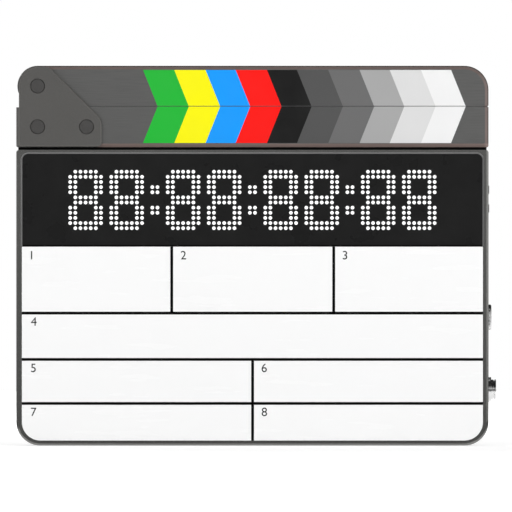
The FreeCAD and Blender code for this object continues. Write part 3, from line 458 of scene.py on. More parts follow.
def stick_metal(node, rim_start, lit_foot_height):
    """Brushed grey with a bevelled rim, which is bronze where no hinge plate lies over it.

    Painted shade darkens the rim's outer edge, and the sides past it are grey. Where a hinge plate lies
    over it the rim is grey, painted a little paler as a highlight. At the foot, past the plate, the rim is
    painted paler still as a highlight, without the edge shade.
    """
    low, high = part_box(node)
    look = Look(node, STICK_GREY, 0.42, STICK_METALLIC, specular=0.3)
    brushed = look.patches(look.noise(0.25 * MM, stretch=(0.02, 1, 1)))
    drift = look.noise(6 * MM)
    along, depth, up = look.axes(look.place)
    from_middle = look.math("ABSOLUTE", depth)
    # Depth at which the painted shade along the rim's outer edge starts
    line = high.y - RIM_DEPTH + RIM_LINE_DEPTH
    # Below this height the rim at the lower stick's foot is painted paler as a highlight
    above_lit_foot = look.math("GREATER_THAN", up, low.z + lit_foot_height)
    past_plate = look.math("GREATER_THAN", along, rim_start)
    # Painted shade along the rim's outer edge, left off at the foot
    in_edge_shade = look.every(look.span(from_middle, line, line - RIM_LINE_DEPTH / 2), above_lit_foot)
    before_side = look.math("GREATER_THAN", from_middle, line - EDGE_SHADE_REACH)
    on_rim = look.every(look.bevelled(start=0.97), before_side)
    # Painted highlight on the rim at the foot, with the bronze rim above it
    foot = look.shade(LIT_FOOT_COLOUR, drift, depth=0.1)
    bronze = look.blend(above_lit_foot, foot, look.shade(BRONZE_RIM, drift, depth=0.1))
    # Where a hinge plate lies over it the rim is grey, painted a little paler as a highlight
    rim = look.blend(past_plate, PLATE_RIM_HIGHLIT, bronze)
    # Paints the shade along the rim's outer edge over the rim
    rim_with_edge_shade = look.blend(in_edge_shade, rim, look.shade(EDGE_SHADE_COLOUR, brushed, depth=0.1))
    flat = look.shade(STICK_GREY, brushed, depth=0.1)
    look.paint(look.blend(on_rim, flat, rim_with_edge_shade))
    look.set("Metallic", look.span(on_rim, 0.0, 1.0, STICK_METALLIC, RIM_METALLIC))
    look.roughen(brushed, least=0.38, most=0.52, spread=0.5)
    look.relief(brushed, 0.004 * MM, look.rounded(METAL_EDGE))
    return look


def stripe_print():
    """Printed stripes, whose slanted edges follow the tiles of the sticks.

    On the upper stick a grey band just above the parting line is painted shade of the slit between the
    sticks.
    """
    look = Look("stripe_print", TILE_MOTTLE, 0.45, specular=0.07)
    low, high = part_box("lower_stripes")
    start = low.x + STRIPE_SLANT * (high.z - low.z)
    along, _, up = look.axes(look.place)
    above = look.math("SUBTRACT", up, high.z)
    lean = look.math("MULTIPLY", look.math("ABSOLUTE", above), STRIPE_SLANT)
    stripes = look.bands(look.span(look.math("ADD", along, lean), start, high.x), STRIPE_COLOURS)
    # Painted shade of the slit: a grey band just above the parting line
    below_shade_top = look.math("LESS_THAN", above, PARTING_SHADE_BAND)
    foot = look.every(look.math("GREATER_THAN", above, 0.0), below_shade_top)
    mottle = look.patches(look.noise(18 * MM), most=0.035)
    ink = look.noise(0.5 * MM)
    look.paint(look.blend(mottle, look.blend(foot, stripes, PARTING_SHADE_GREY), TILE_MOTTLE))
    look.roughen(ink, least=0.4, most=0.52, spread=0.3)
    look.relief(ink, 0.004 * MM, look.rounded(0.1 * MM))
    return look


def board_white():
    """Dry-wipe sheet with faint wiping streaks and the ghost of rubbed-out pen."""
    base = grey(253)
    look = Look("board_white", base, 0.22, specular=0.3)
    streak = look.noise(5 * MM, detail=4.0, stretch=(0.12, 1, 1))
    ghost = look.patches(look.noise(24 * MM, detail=5.0), start=0.58, full=0.8, most=0.05)
    look.paint(look.blend(ghost, base, grey(205)))
    look.roughen(streak, least=0.18, most=0.3)
    look.relief(look.noise(1.2 * MM, detail=2.0), 0.002 * MM)
    return look


def display_black():
    """Dark display face with a faint haze of wear."""
    base = grey(29)
    look = Look("display_black", base, 0.3, specular=0.1)
    haze = look.noise(14 * MM, detail=4.0)
    look.paint(look.shade(base, haze, depth=0.25))
    look.roughen(haze, least=0.24, most=0.4)
    look.relief(look.noise(0.6 * MM, detail=2.0), 0.003 * MM)
    return look


def print_black():
    """Screen-printed ink with a soft grain."""
    base = grey(8)
    look = Look("print_black", base, 0.5, specular=0.05)
    grain = look.noise(0.4 * MM)
    look.paint(look.shade(base, grain, depth=0.35))
    look.relief(grain, 0.004 * MM)
    return look


def print_white():
    """White marking ink, a little rubbed."""
    base = grey(226)
    look = Look("print_white", base, 0.5, specular=0.2)
    rub = look.patches(look.noise(0.9 * MM, detail=4.0), start=0.5, full=0.8, most=0.35)
    look.paint(look.blend(rub, base, grey(120)))
    look.relief(look.noise(0.3 * MM, detail=2.0), 0.004 * MM)
    return look


def dot_white():
    """White lens that glows a little."""
    glow = grey(252)
    look = Look("dot_white", glow, 0.25)
    cloud = look.noise(0.8 * MM, detail=2.0)
    look.paint(look.shade(grey(246), cloud, depth=0.03))
    look.set("Emission Color", glow)
    look.set("Emission Strength", 0.35)
    look.roughen(cloud, least=0.2, most=0.32, spread=0.3)
    return look


def moulded(name, base, roughness, grain, depth):
    """Moulded plastic with a spark-eroded grain, a slow drift of tone and paler handled edges."""
    look = Look(name, base, roughness, specular=0.4)
    normal = look.rounded(0.35 * MM)
    speckle = look.noise(grain)
    tone = look.mottled(base, look.noise(30 * MM), speckle, depth=0.28)
    worn = look.wear(normal, size=4 * MM, start=0.4, full=0.75)
    look.paint(look.blend(worn, tone, scaled(base, 0.9, lift=0.04)))
    look.roughen(speckle, least=roughness - 0.08, most=roughness + 0.08, spread=0.25)
    look.relief(speckle, depth, normal)
    return look


def cover_plastic():
    return moulded("cover_plastic", grey(62), roughness=0.58, grain=0.7 * MM, depth=0.06 * MM)


def control_plastic():
    return moulded("control_plastic", grey(36), roughness=0.5, grain=0.6 * MM, depth=0.015 * MM)


def button_grey():
    return moulded("button_grey", grey(120), roughness=0.5, grain=0.5 * MM, depth=0.012 * MM)


def black_moulding():
    return moulded("black_moulding", grey(26), roughness=0.5, grain=0.4 * MM, depth=0.01 * MM)


def nylon():
    return moulded("nylon", grey(220), roughness=0.55, grain=0.5 * MM, depth=0.01 * MM)


def tongue_plastic():
    return moulded("tongue_plastic", grey(22), roughness=0.45, grain=0.3 * MM, depth=0.005 * MM)


def rubber(name, base, specular):
    """Matt rubber with a fine pebbled skin and a trace of dust."""
    look = Look(name, base, 0.75, specular=specular)
    cells = look.add("ShaderNodeTexVoronoi", {"Vector": look.place, "Scale": 1.0 / (0.7 * MM)})
    pebble = look.span(cells.outputs["Distance"], 0.0, 0.7)
    dust = look.patches(look.noise(16 * MM, detail=4.0), start=0.45, full=0.8, most=0.12)
    look.paint(look.blend(dust, base, scaled(base, 2.5)))
    look.roughen(pebble, least=0.65, most=0.85, spread=0.5)
    look.relief(pebble, 0.05 * MM, look.rounded(0.3 * MM))
    return look


def rail_rubber():
    return rubber("rail_rubber", grey(9), specular=0.04)


def grip_rubber():
    return rubber("grip_rubber", grey(34), specular=0.3)


def bright_metal(name, base, roughness, scratch):
    """Plated or turned metal with fine scratches and a little tarnish."""
    look = Look(name, base, roughness, metallic=1.0)
    lines = look.noise(0.12 * MM, detail=4.0, stretch=(1, 1, 0.08))
    tarnish = look.patches(look.noise(5 * MM, detail=4.0), start=0.45, full=0.75)
    look.paint(look.shade(base, look.math("SUBTRACT", 1.0, tarnish), depth=0.12))
    look.roughen(lines, least=roughness, most=roughness + scratch)
    look.relief(lines, 0.002 * MM, look.rounded(0.15 * MM))
    return look


def bright_nickel():
    return bright_metal("nickel", grey(205), roughness=0.2, scratch=0.12)


def plain_steel():
    return bright_metal("steel", grey(170), roughness=0.3, scratch=0.12)


def screw_steel():
    return bright_metal("screw_steel", grey(150), roughness=0.28, scratch=0.12)


def bush_bronze():
    return bright_metal("bronze", colour(196, 152, 88), roughness=0.3, scratch=0.1)


def contact_gold():
    return bright_metal("contact_gold", colour(236, 190, 98), roughness=0.2, scratch=0.1)


def node_centre(node):
    low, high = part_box(node)
    return (low + high) / 2


def rivet_centres():
    """Middle of each flush head, from the boxes of the rivets."""
    low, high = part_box("plate_rivets")
    radius = (high.z - low.z) / 2
    level = (low.z + high.z) / 2
    sides = [Vector((x, 0, level)) for x in (low.x + radius, high.x - radius)]
    return [node_centre("pivot_rivet")] + sides


def lathe_distance(look, middle, sideways):
    """Distance from a middle across one sideways axis and the height."""
    axes = look.axes(look.place)
    shifts = [look.math("SUBTRACT", axes[axis], middle[axis]) for axis in (sideways, UP)]
    squares = [look.math("MULTIPLY", shift, shift) for shift in shifts]
    return look.math("SQRT", look.math("ADD", *squares))


def turned_metal(name, base, middles, sideways, roughness, metallic, pitch, depth):
    """Metal with the rings of a lathe about each middle, across one sideways axis and the height."""
    look = Look(name, base, roughness, metallic, specular=0.3)
    nearest, *others = [lathe_distance(look, middle, sideways) for middle in middles]
    for other in others:
        nearest = look.math("MINIMUM", nearest, other)
    rings = look.math("SINE", look.math("MULTIPLY", nearest, FULL_TURN / pitch))
    rub = look.noise(1.5 * MM, detail=4.0)
    look.paint(look.shade(base, rub, depth=0.12))
    look.roughen(rub, least=roughness - 0.06, most=roughness + 0.1)
    look.relief(look.span(rings, -1.0, 1.0), depth, look.rounded(METAL_EDGE))
    return look


def turned_heads():
    return turned_metal("turned_heads", colour(80, 79, 78), rivet_centres(), ALONG,
                        roughness=0.4, metallic=0.45, pitch=0.22 * MM, depth=0.004 * MM)


def port_chrome():
    middles = [node_centre("jack_nut"), node_centre("plug_shell")]
    return turned_metal("port_chrome", grey(195), middles, DEPTH,
                        roughness=0.12, metallic=1.0, pitch=0.3 * MM, depth=0.003 * MM)


def circuit_board():
    """Green laminate with copper runs under the lacquer and a woven ground."""
    base = colour(22, 84, 48)
    look = Look("circuit_board", base, 0.35)
    along, _, up = look.axes(look.place)
    flat = look.add("ShaderNodeCombineXYZ", {"X": along, "Y": up}).outputs[0]
    inputs = {"Vector": flat, "Scale": 1.0 / (12 * MM), "Mortar Size": 0.03}
    bricks = look.add("ShaderNodeTexBrick", inputs, offset=0.37, squash=0.6, squash_frequency=3)
    ground = look.shade(base, look.noise(0.5 * MM, detail=2.0), depth=0.15)
    look.paint(look.blend(bricks.outputs["Fac"], ground, colour(58, 128, 70)))
    look.relief(bricks.outputs["Fac"], 0.03 * MM)
    return look


def cell_sleeve():
    """Plain shrink sleeve, with bare metal at both ends of each cell."""
    base = colour(70, 74, 82)
    bare_length = 2.2 * MM
    look = Look("cell_sleeve", base, 0.3)
    low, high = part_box("battery_cells")
    up = look.axes(look.place)[UP]
    from_middle = look.math("ABSOLUTE", look.math("SUBTRACT", up, (low.z + high.z) / 2))
    bare = look.math("GREATER_THAN", from_middle, (high.z - low.z) / 2 - bare_length)
    crease = look.noise(3 * MM, detail=4.0, stretch=(1, 1, 0.3))
    look.paint(look.blend(bare, look.shade(base, crease, depth=0.1), grey(190)))
    look.set("Metallic", bare)
    look.roughen(crease, least=0.25, most=0.38)
    look.relief(crease, 0.02 * MM)
    return look


def clear_lens():
    """Clear window with a few rubbed marks."""
    look = Look("clear_lens", grey(240), 0.04)
    rub = look.patches(look.noise(4 * MM, detail=5.0), start=0.55, full=0.8, most=0.2)
    look.set("Roughness", look.math("ADD", rub, 0.03))
    look.set("Transmission Weight", 1.0)
    look.set("IOR", 1.45)
    return look


def liquid_display():
    """Dull grey-green glass with the grid of its pixels."""
    base = colour(108, 120, 104)
    pixel = 0.42 * MM
    look = Look("liquid_display", base, 0.2)
    along, _, up = look.axes(look.place)
    waves = [look.math("SINE", look.math("MULTIPLY", axis, FULL_TURN / pixel)) for axis in (along, up)]
    grid = look.patches(look.math("MAXIMUM", *waves), start=0.85, full=1.0)
    look.paint(look.blend(grid, base, colour(94, 106, 92)))
    look.roughen(look.noise(6 * MM), least=0.16, most=0.26)
    return look


def coat(mesh, look):
    """Puts a look on a mesh in place of any other."""
    mesh.materials.clear()
    mesh.materials.append(look.material)


def dress(look, *names):
    """Puts a look on carried-over nodes."""
    for name in names:
        coat(NODES[name].data, look)


def dress_nodes(chrome, nickel):
    """Dresses every node that no piece replaces."""
    dress(frame_metal(), "front_frame")
    dress(hinge_metal(), "front_hinge_plate", "rear_hinge_plate")
    dress(stick_metal("upper_stick", UPPER_RIM_START, 0.0), "upper_stick")
    dress(stick_metal("lower_stick", LOWER_RIM_START, LIT_FOOT_HEIGHT), "lower_stick")
    dress(stripe_print(), "upper_stripes", "lower_stripes")
    dress(board_white(), "writing_board")
    dress(display_black(), "display_panel")
    dress(turned_heads(), "plate_rivets", "pivot_rivet")
    dress(rail_rubber(), "stick_rail")
    dress(grip_rubber(), "grip_pads")
    dress(cover_plastic(), "rear_cover", "battery_pod", "battery_door")
    dress(control_plastic(), "menu_dial", "upper_key", "lower_key", "power_knob")
    dress(button_grey(), "upper_side_button", "lower_side_button")
    dress(black_moulding(), "main_board_chips", "encoder_body", "key_switches", "power_base",
          "side_switches", "jack_body", "plug_insulator")
    dress(nylon(), "thrust_washers", "ribbon_cable")
    dress(chrome, "plug_shell")
    dress(nickel, "usb_socket", "plug_nut", "upper_magnets", "lower_magnets", "battery_contacts")
    dress(plain_steel(), "stick_screws", "pod_screws", "board_screws", "door_pin", "stop_pin",
          "encoder_shaft")
    dress(bush_bronze(), "pivot_bush")
    dress(circuit_board(), "led_board", "main_board", "control_board", "button_board", "port_board")
    dress(cell_sleeve(), "battery_cells")
    dress(clear_lens(), "status_lens")
    dress(liquid_display(), "status_display")


# Meshes and pieces
def mesh_from(name, build):
    """Mesh filled by a function that takes a bmesh."""
    shape = bmesh.new()
    build(shape)
    bmesh.ops.recalc_face_normals(shape, faces=shape.faces)
    mesh = bpy.data.meshes.new(name)
    shape.to_mesh(mesh)
    shape.free()
    return mesh


def new_piece(name, mesh, look, body="chassis"):
    piece = bpy.data.objects.new(name, mesh)
    bpy.context.scene.collection.objects.link(piece)
    coat(mesh, look)
    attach(piece, body)
    return piece


def turns(count):
    """Equal angles round a full turn."""
    return [FULL_TURN * i / count for i in range(count)]


def arc(x, z, radius, angles):
    """Points at angles round a middle, as pairs."""
    return [(x + radius * math.cos(t), z + radius * math.sin(t)) for t in angles]


def row(count, pitch):
    """Places of a row of things about its middle."""
    return [(i - (count - 1) / 2) * pitch for i in range(count)]


def placed(point, angle, axis):
    """Placing matrix at a point, turned by an angle about an axis."""
    return Matrix.Translation(point) @ Matrix.Rotation(angle, 4, axis)


def join_rings(shape, rings):
    """Faces between each ring of points and the next, where a ring may be one point repeated."""
    faces = []
    for first, second in zip(rings, rings[1:]):
        for i in range(len(first)):
            j = (i + 1) % len(first)
            corners = dict.fromkeys((first[i], first[j], second[j], second[i]))
            faces.append(shape.faces.new(corners))
    return faces


def add_loft(shape, sections):
    """Solid through sections of as many points each, closed at both ends."""
    rings = [[shape.verts.new(point) for point in section] for section in sections]
    shape.faces.new(rings[0])
    shape.faces.new(rings[-1])
    join_rings(shape, rings)


def add_turned(shape, place, profile, sides):
    """Solid of revolution about the Z axis of a placing matrix.

    Each point of the profile is a radius, which may be a function of the angle, and a height. The profile
    starts and ends on the axis, or else closes on itself round a bore.
    """
    def ring(radius, height):
        if radius == 0:
            return [shape.verts.new(place @ Vector((0, 0, height)))] * sides
        reaches = [(radius(t) if callable(radius) else radius, t) for t in turns(sides)]
        points = [Vector((r * math.cos(t), r * math.sin(t), height)) for r, t in reaches]
        return [shape.verts.new(place @ point) for point in points]

    rings = [ring(radius, height) for radius, height in profile]
    if profile[0][0] != 0:
        rings.append(rings[0])
    join_rings(shape, rings)


def section_at(x, low, high, cut=0.0):
    """Rectangle across X between the depths and heights of two corners, less a cut all round."""
    y0, y1 = low[DEPTH] + cut, high[DEPTH] - cut
    z0, z1 = low[UP] + cut, high[UP] - cut
    return [(x, y0, z0), (x, y1, z0), (x, y1, z1), (x, y0, z1)]


def block_piece(name, blocks, look):
    """Piece made of boxes, each between two corners."""
    def build(shape):
        for low, high in blocks:
            add_loft(shape, [section_at(corner[ALONG], low, high) for corner in (low, high)])

    new_piece(name, mesh_from(name, build), look)


def plate_piece(name, outlines, y0, y1, look, body):
    """Piece made of plates between two depths, each of an outline of side and height pairs."""
    def build(shape):
        for outline in outlines:
            add_loft(shape, [[(x, y, z) for x, z in outline] for y in (y0, y1)])

    new_piece(name, mesh_from(name, build), look, body)


def turned_piece(name, places, profile, sides, look):
    """Smooth piece with a solid of revolution at each placing, whose steep edges stay sharp."""
    def build(shape):
        for place in places:
            add_turned(shape, place, profile, sides)

    mesh = mesh_from(name, build)
    mesh.shade_smooth()
    mesh.set_sharp_from_angle(angle=SHARP_ANGLE)
    return new_piece(name, mesh, look)


def box_middle(points):
    """Middle of the box round some points."""
    low = Vector(map(min, *points))
    high = Vector(map(max, *points))
    return (low + high) / 2


def connected(first):
    """All the points that edges join to a first one, with it."""
    group = {first}
    stack = [first]
    while stack:
        vert = stack.pop()
        others = {edge.other_vert(vert) for edge in vert.link_edges} - group
        group |= others
        stack.extend(others)
    return group


def loose_centres(node):
    """Middle of each separate solid of a node, from its mesh."""
    shape = bmesh.new()
    shape.from_mesh(NODES[node].data)
    bmesh.ops.remove_doubles(shape, verts=shape.verts, dist=WELD)
    centres = []
    seen = set()
    for first in shape.verts:
        if first not in seen:
            group = connected(first)
            seen |= group
            centres.append(box_middle([vert.co for vert in group]))
    shape.free()
    return centres


# Pieces on the front
def add_lens(shape, centre, back, rise):
    """Domed lens that swells from the panel at back towards the front by the rise."""
    def ring(share):
        radius = DOT_RADIUS * math.cos(share * QUARTER_TURN)
        y = back - rise * math.sin(share * QUARTER_TURN)
        outline = arc(centre.x, centre.z, radius, turns(DOT_SIDES))
        return [shape.verts.new((x, y, z)) for x, z in outline]

    rings = [ring(i / DOT_RINGS) for i in range(DOT_RINGS)]
    tip = shape.verts.new((centre.x, back - rise, centre.z))
    for face in join_rings(shape, rings + [[tip] * DOT_SIDES]):
        face.smooth = True
    shape.faces.new(list(reversed(rings[0])))


def dot_lenses(white):
    """A domed lens for each light dot of the display."""
    low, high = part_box("led_dots")

    def build(shape):
        for centre in loose_centres("led_dots"):
            add_lens(shape, centre, high.y, high.y - low.y)

    piece = new_piece("dot_lenses", mesh_from("dot_lenses", build), white)
    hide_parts("led_dots")


def front_print(face, left, foot, right, top):
    """Corners of a block of ink on a face that looks to the front."""
    return (left, face - PRINT_PROUD, foot), (right, face + PRINT_DEPTH, top)


def field_lines(ink):
    """Ruled lines between the fields of the writing board."""
    low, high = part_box("writing_board")
    half = LINE_WIDTH / 2
    lines = [front_print(low.y, low.x, level - half, high.x, level + half) for level in LINE_LEVELS]
    lines += [front_print(low.y, x - half, LINE_LEVELS[0], x + half, high.z) for x in UPPER_DIVIDERS]
    lines.append(front_print(low.y, LOWER_DIVIDER - half, low.z, LOWER_DIVIDER + half, LINE_LEVELS[1]))
    block_piece("field_lines", lines, ink)


def display_seam(ink):
    """Black line along the foot of the display, where the writing board meets it."""
    low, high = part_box("display_panel")
    seam = front_print(low.y, low.x, low.z, high.x, low.z + SEAM_HEIGHT)
    block_piece("display_seam", [seam], ink)


def field_corners():
    """Upper left corner of each ruled field, row by row."""
    low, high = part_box("writing_board")
    halves = (low.x, LOWER_DIVIDER)
    row_lefts = ((low.x,) + UPPER_DIVIDERS, (low.x,), halves, halves)
    row_tops = (high.z,) + LINE_LEVELS
    return [(x, z) for lefts, z in zip(row_lefts, row_tops) for x in lefts]


def number_mesh(text, height):
    """Mesh of a printed number, upright and facing the front."""
    curve = bpy.data.curves.new("number", "FONT")
    curve.body = text
    curve.size = height / CAP_SHARE
    curve.extrude = (PRINT_PROUD + PRINT_DEPTH) / 2
    holder = bpy.data.objects.new("number", curve)
    bpy.context.scene.collection.objects.link(holder)
    bpy.context.view_layer.update()
    mesh = bpy.data.meshes.new_from_object(holder.evaluated_get(bpy.context.evaluated_depsgraph_get()))
    bpy.data.objects.remove(holder)
    bpy.data.curves.remove(curve)
    mesh.transform(Matrix.Rotation(QUARTER_TURN, 4, "X"))
    return mesh


def field_numbers(ink):
    """A plain number in the corner of each field."""
    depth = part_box("writing_board")[0].y + (PRINT_DEPTH - PRINT_PROUD) / 2
    for i, (x, z) in enumerate(field_corners(), start=1):
        mesh = number_mesh(str(i), NUMBER_HEIGHT)
        left = min(v.co.x for v in mesh.vertices)
        corner = (x + NUMBER_LEFT - left, depth, z - NUMBER_DROP - NUMBER_HEIGHT)
        mesh.transform(Matrix.Translation(corner))
        new_piece("field_number_" + str(i), mesh, ink)


# Turned pieces
def hexagon(flats):
    """Radius of a hexagon, given across its flats, at an angle."""
    side = FULL_TURN / 6

    def radius(angle):
        return flats / 2 / math.cos((angle + side / 2) % side - side / 2)

    return radius


def thread_radius(height):
    """Radius of the tripod thread at a height, at an angle."""
    def radius(angle):
        turn = (height / THREAD_PITCH - angle / FULL_TURN) % 1.0
        return THREAD_MINOR + (THREAD_MAJOR - THREAD_MINOR) * (1 - abs(2 * turn - 1))

    return radius


def knurl_radius(outside):
    """Radius of a straight knurl at an angle."""
    def radius(angle):
        return outside - KNURL_DEPTH * abs((angle * KNURL_COUNT / math.pi) % 2 - 1)

    return radius


def knurled_nut(metal):
    """Ring nut of the jack with a knurled rim and bevelled mouth."""
    low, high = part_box("jack_nut")
    middle = node_centre("jack_nut")
    outside = (high.z - low.z) / 2
    rim = knurl_radius(outside)
    profile = [(NUT_BORE, low.x), (rim, low.x), (rim, high.x - NUT_BEVEL), (outside - NUT_BEVEL, high.x),
               (NUT_BORE + NUT_MOUTH, high.x), (NUT_BORE, high.x - NUT_MOUTH)]
    place = placed((0, middle.y, middle.z), QUARTER_TURN, "Y")
    piece = turned_piece("knurled_nut", [place], profile, KNURL_COUNT * KNURL_STEPS, metal)
    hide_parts("jack_nut")


def socket_screws(metal):
    """Button-headed screws of the rear cover, each with a hexagon socket."""
    low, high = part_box("cover_screws")
    centres = loose_centres("cover_screws")
    head = high.x - max(c.x for c in centres)
    seat = high.y - SCREW_HEAD_HEIGHT
    bottom = high.y - SOCKET_DEPTH
    wall = hexagon(SOCKET_FLATS)
    mouth = hexagon(SOCKET_FLATS + 2 * SOCKET_MOUTH)
    shank = [(0, low.y), (SHANK_RADIUS / 2, low.y), (SHANK_RADIUS, low.y + SCREW_POINT),
             (SHANK_RADIUS, seat)]
    crown = [(head, seat), (head, high.y - SCREW_CROWN),
             (head - SCREW_CROWN / 3, high.y - SCREW_CROWN / 3), (head - SCREW_CROWN, high.y)]
    socket = [(mouth, high.y), (wall, high.y - SOCKET_MOUTH), (wall, bottom), (0, bottom)]
    places = [placed((c.x, 0, c.z), -QUARTER_TURN, "X") for c in centres]
    piece = turned_piece("socket_screws", places, shank + crown + socket, SCREW_SIDES, metal)
    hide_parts("cover_screws")


def threaded_sockets(metal):
    """Tripod sockets with a cut thread, a flange and a countersunk mouth."""
    low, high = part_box("tripod_sockets")
    centres = loose_centres("tripod_sockets")
    flange = high.x - max(c.x for c in centres)
    steps = round(THREAD_LENGTH / THREAD_PITCH * THREAD_STEPS)
    first = THREAD_MAJOR - THREAD_MINOR
    levels = [first + (THREAD_LENGTH - first) * i / steps for i in range(steps + 1)]
    body = [(0, high.z), (TRIPOD_BODY_RADIUS, high.z), (TRIPOD_BODY_RADIUS, TRIPOD_FLANGE),
            (flange, TRIPOD_FLANGE), (flange, TRIPOD_EDGE), (flange - TRIPOD_EDGE, low.z),
            (TRIPOD_MOUTH_RADIUS, low.z)]
    thread = [(thread_radius(level), level) for level in levels]
    bore = [(THREAD_MINOR, THREAD_LENGTH), (THREAD_MINOR, TRIPOD_BORE), (0, TRIPOD_BORE)]
    places = [Matrix.Translation((c.x, c.y, 0)) for c in centres]
    piece = turned_piece("threaded_sockets", places, body + thread + bore, THREAD_SIDES, metal)
    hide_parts("tripod_sockets")


# Contacts of the ports
def connector_pins(gold):
    """Gilt socket contacts, each with its bore, in the insulator of the round connector."""
    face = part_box("plug_insulator")[1].x
    middle = node_centre("plug_insulator")
    profile = [(0, -PIN_LENGTH), (PIN_RADIUS, -PIN_LENGTH), (PIN_RADIUS, PIN_PROUD / 2),
               (PIN_RADIUS - PIN_PROUD / 2, PIN_PROUD), (PIN_BORE, PIN_PROUD), (PIN_BORE, -PIN_BORE_DEPTH),
               (0, -PIN_BORE_DEPTH)]
    orbit = arc(middle.y, middle.z, PIN_ORBIT, turns(PIN_COUNT))
    places = [placed((face, y, z), QUARTER_TURN, "Y") for y, z in orbit]
    turned_piece("connector_pins", places, profile, PIN_SIDES, gold)


def tongue_box():
    """Lowest and highest corner of the sleeve over the tongue of the charging socket."""
    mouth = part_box("usb_socket")[1].x - TONGUE_RECESS
    middle = node_centre("usb_socket")
    half_width = TONGUE_WIDTH / 2 + TONGUE_SLEEVE
    half_height = TONGUE_HEIGHT / 2 + TONGUE_SLEEVE
    low = Vector((mouth - TONGUE_LENGTH, middle.y - half_width, middle.z - half_height))
    high = Vector((mouth + TONGUE_SLEEVE, middle.y + half_width, middle.z + half_height))
    return low, high


def charging_tongue(plastic):
    """Black sleeve with a tapered nose over the tongue of the charging socket."""
    low, high = tongue_box()
    cuts = ((low.x, 0.0), (high.x - TONGUE_NOSE, 0.0), (high.x, TONGUE_NOSE / 2))

    def build(shape):
        add_loft(shape, [section_at(x, low, high, cut) for x, cut in cuts])

    new_piece("charging_tongue", mesh_from("charging_tongue", build), plastic)


def charging_contacts(gold):
    """Gilt contacts on both faces of the tongue of the charging socket."""
    low, high = tongue_box()
    end = high.x - TONGUE_NOSE - CONTACT_START
    blocks = []
    for shift in row(CONTACT_COUNT, CONTACT_PITCH):
        side = (low.y + high.y) / 2 + shift - CONTACT_WIDTH / 2
        blocks.append(((end - CONTACT_LENGTH, side, low.z - CONTACT_PROUD),
                       (end, side + CONTACT_WIDTH, high.z + CONTACT_PROUD)))
    block_piece("charging_contacts", blocks, gold)


# Marks on the controls at the back
def bar_outline(x, foot, top, width):
    """Upright bar with round ends, as side and height pairs."""
    radius = width / 2
    angles = [math.pi * i / ROUND_STEPS for i in range(ROUND_STEPS + 1)]
    return arc(x, top - radius, radius, angles) + arc(x, foot + radius, -radius, angles)


def control_mark(name, outline, control, ink):
    """Flat mark printed on the back of a control, whose body has the same name."""
    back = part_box(control)[1].y
    plate_piece(name, [outline], back - MARK_DEPTH, back + MARK_PROUD, ink, control)


def dial_mark(ink):
    middle = node_centre("menu_dial")
    bar = bar_outline(middle.x, middle.z + DIAL_MARK_INNER, middle.z + DIAL_MARK_OUTER, DIAL_MARK_WIDTH)
    control_mark("dial_mark", bar, "menu_dial", ink)


def key_marks(ink):
    """An arrow on each key, up and down."""
    for key, way in (("upper_key", 1), ("lower_key", -1)):
        middle = node_centre(key)
        angles = [way * (QUARTER_TURN + t) for t in turns(KEY_MARK_CORNERS)]
        arrow = arc(middle.x, middle.z, KEY_MARK_RADIUS, angles)
        control_mark(key + "_mark", arrow, key, ink)


def knob_ribs(plastic):
    """Rounded ribs across the face of the power knob."""
    low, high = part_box("power_knob")
    middle = node_centre("power_knob")
    half = (high.z - low.z) / 2 - KNOB_FLANGE - KNOB_RIB_INSET
    ribs = [bar_outline(middle.x + shift, middle.z - half, middle.z + half, KNOB_RIB_WIDTH)
            for shift in row(KNOB_RIB_COUNT, KNOB_RIB_PITCH)]
    plate_piece("knob_ribs", ribs, high.y - MARK_DEPTH, high.y + KNOB_RIB_HEIGHT, plastic,
                "power_knob")


def place_number(name, text, height, centre, ink):
    """Number printed about a point on a face that looks to the back."""
    mesh = number_mesh(text, height)
    mesh.transform(Matrix.Rotation(math.pi, 4, "Z"))
    mesh.transform(Matrix.Translation(Vector(centre) - box_middle([v.co for v in mesh.vertices])))
    new_piece(name, mesh, ink)


def switch_numbers(ink):
    """Plain numbers above the two ends of the power switch's travel."""
    middle = node_centre("power_knob")
    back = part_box("rear_cover")[1].y
    for text, shift in (("0", 0.0), ("1", KNOB_TRAVEL)):
        centre = (middle.x + shift, back, middle.z + SWITCH_NUMBER_RISE)
        place_number("switch_number_" + text, text, SWITCH_NUMBER_HEIGHT, centre, ink)


def readout_digits(ink):
    """Plain digits on the glass of the status display."""
    middle = node_centre("status_display")
    centre = (middle.x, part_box("status_display")[1].y, middle.z - READOUT_DROP)
    place_number("readout_digits", READOUT_TEXT, READOUT_HEIGHT, centre, ink)


def readout_bars(ink):
    """Level bars and a rule on the glass of the status display."""
    middle = node_centre("status_display")
    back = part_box("status_display")[1].y
    left = middle.x - READOUT_SIDE
    top = middle.z + READOUT_TOP
    rule_top = middle.z - READOUT_RULE_DROP

    def bar(x, width, bar_top, height):
        return (x, back - MARK_DEPTH, bar_top - height), (x + width, back + PRINT_PROUD, bar_top)

    bars = [bar(left + i * READOUT_BAR_PITCH, READOUT_BAR_WIDTH, top, READOUT_BAR_HEIGHT)
            for i in range(READOUT_BARS)]
    rule = bar(left, 2 * READOUT_SIDE, rule_top, READOUT_RULE_HEIGHT)
    block_piece("readout_bars", bars + [rule], ink)


def add_pieces(chrome, nickel):
    """Adds everything that the solids leave out."""
    black_ink = print_black()
    white_ink = print_white()
    gold = contact_gold()
    black_plastic = tongue_plastic()
    dot_lenses(dot_white())
    field_lines(black_ink)
    display_seam(black_ink)
    field_numbers(black_ink)
    socket_screws(screw_steel())
    knurled_nut(chrome)
    threaded_sockets(nickel)
    connector_pins(gold)
    charging_tongue(black_plastic)
    charging_contacts(gold)
    dial_mark(white_ink)
    key_marks(white_ink)
    switch_numbers(white_ink)
    knob_ribs(black_plastic)
    readout_digits(black_ink)
    readout_bars(black_ink)


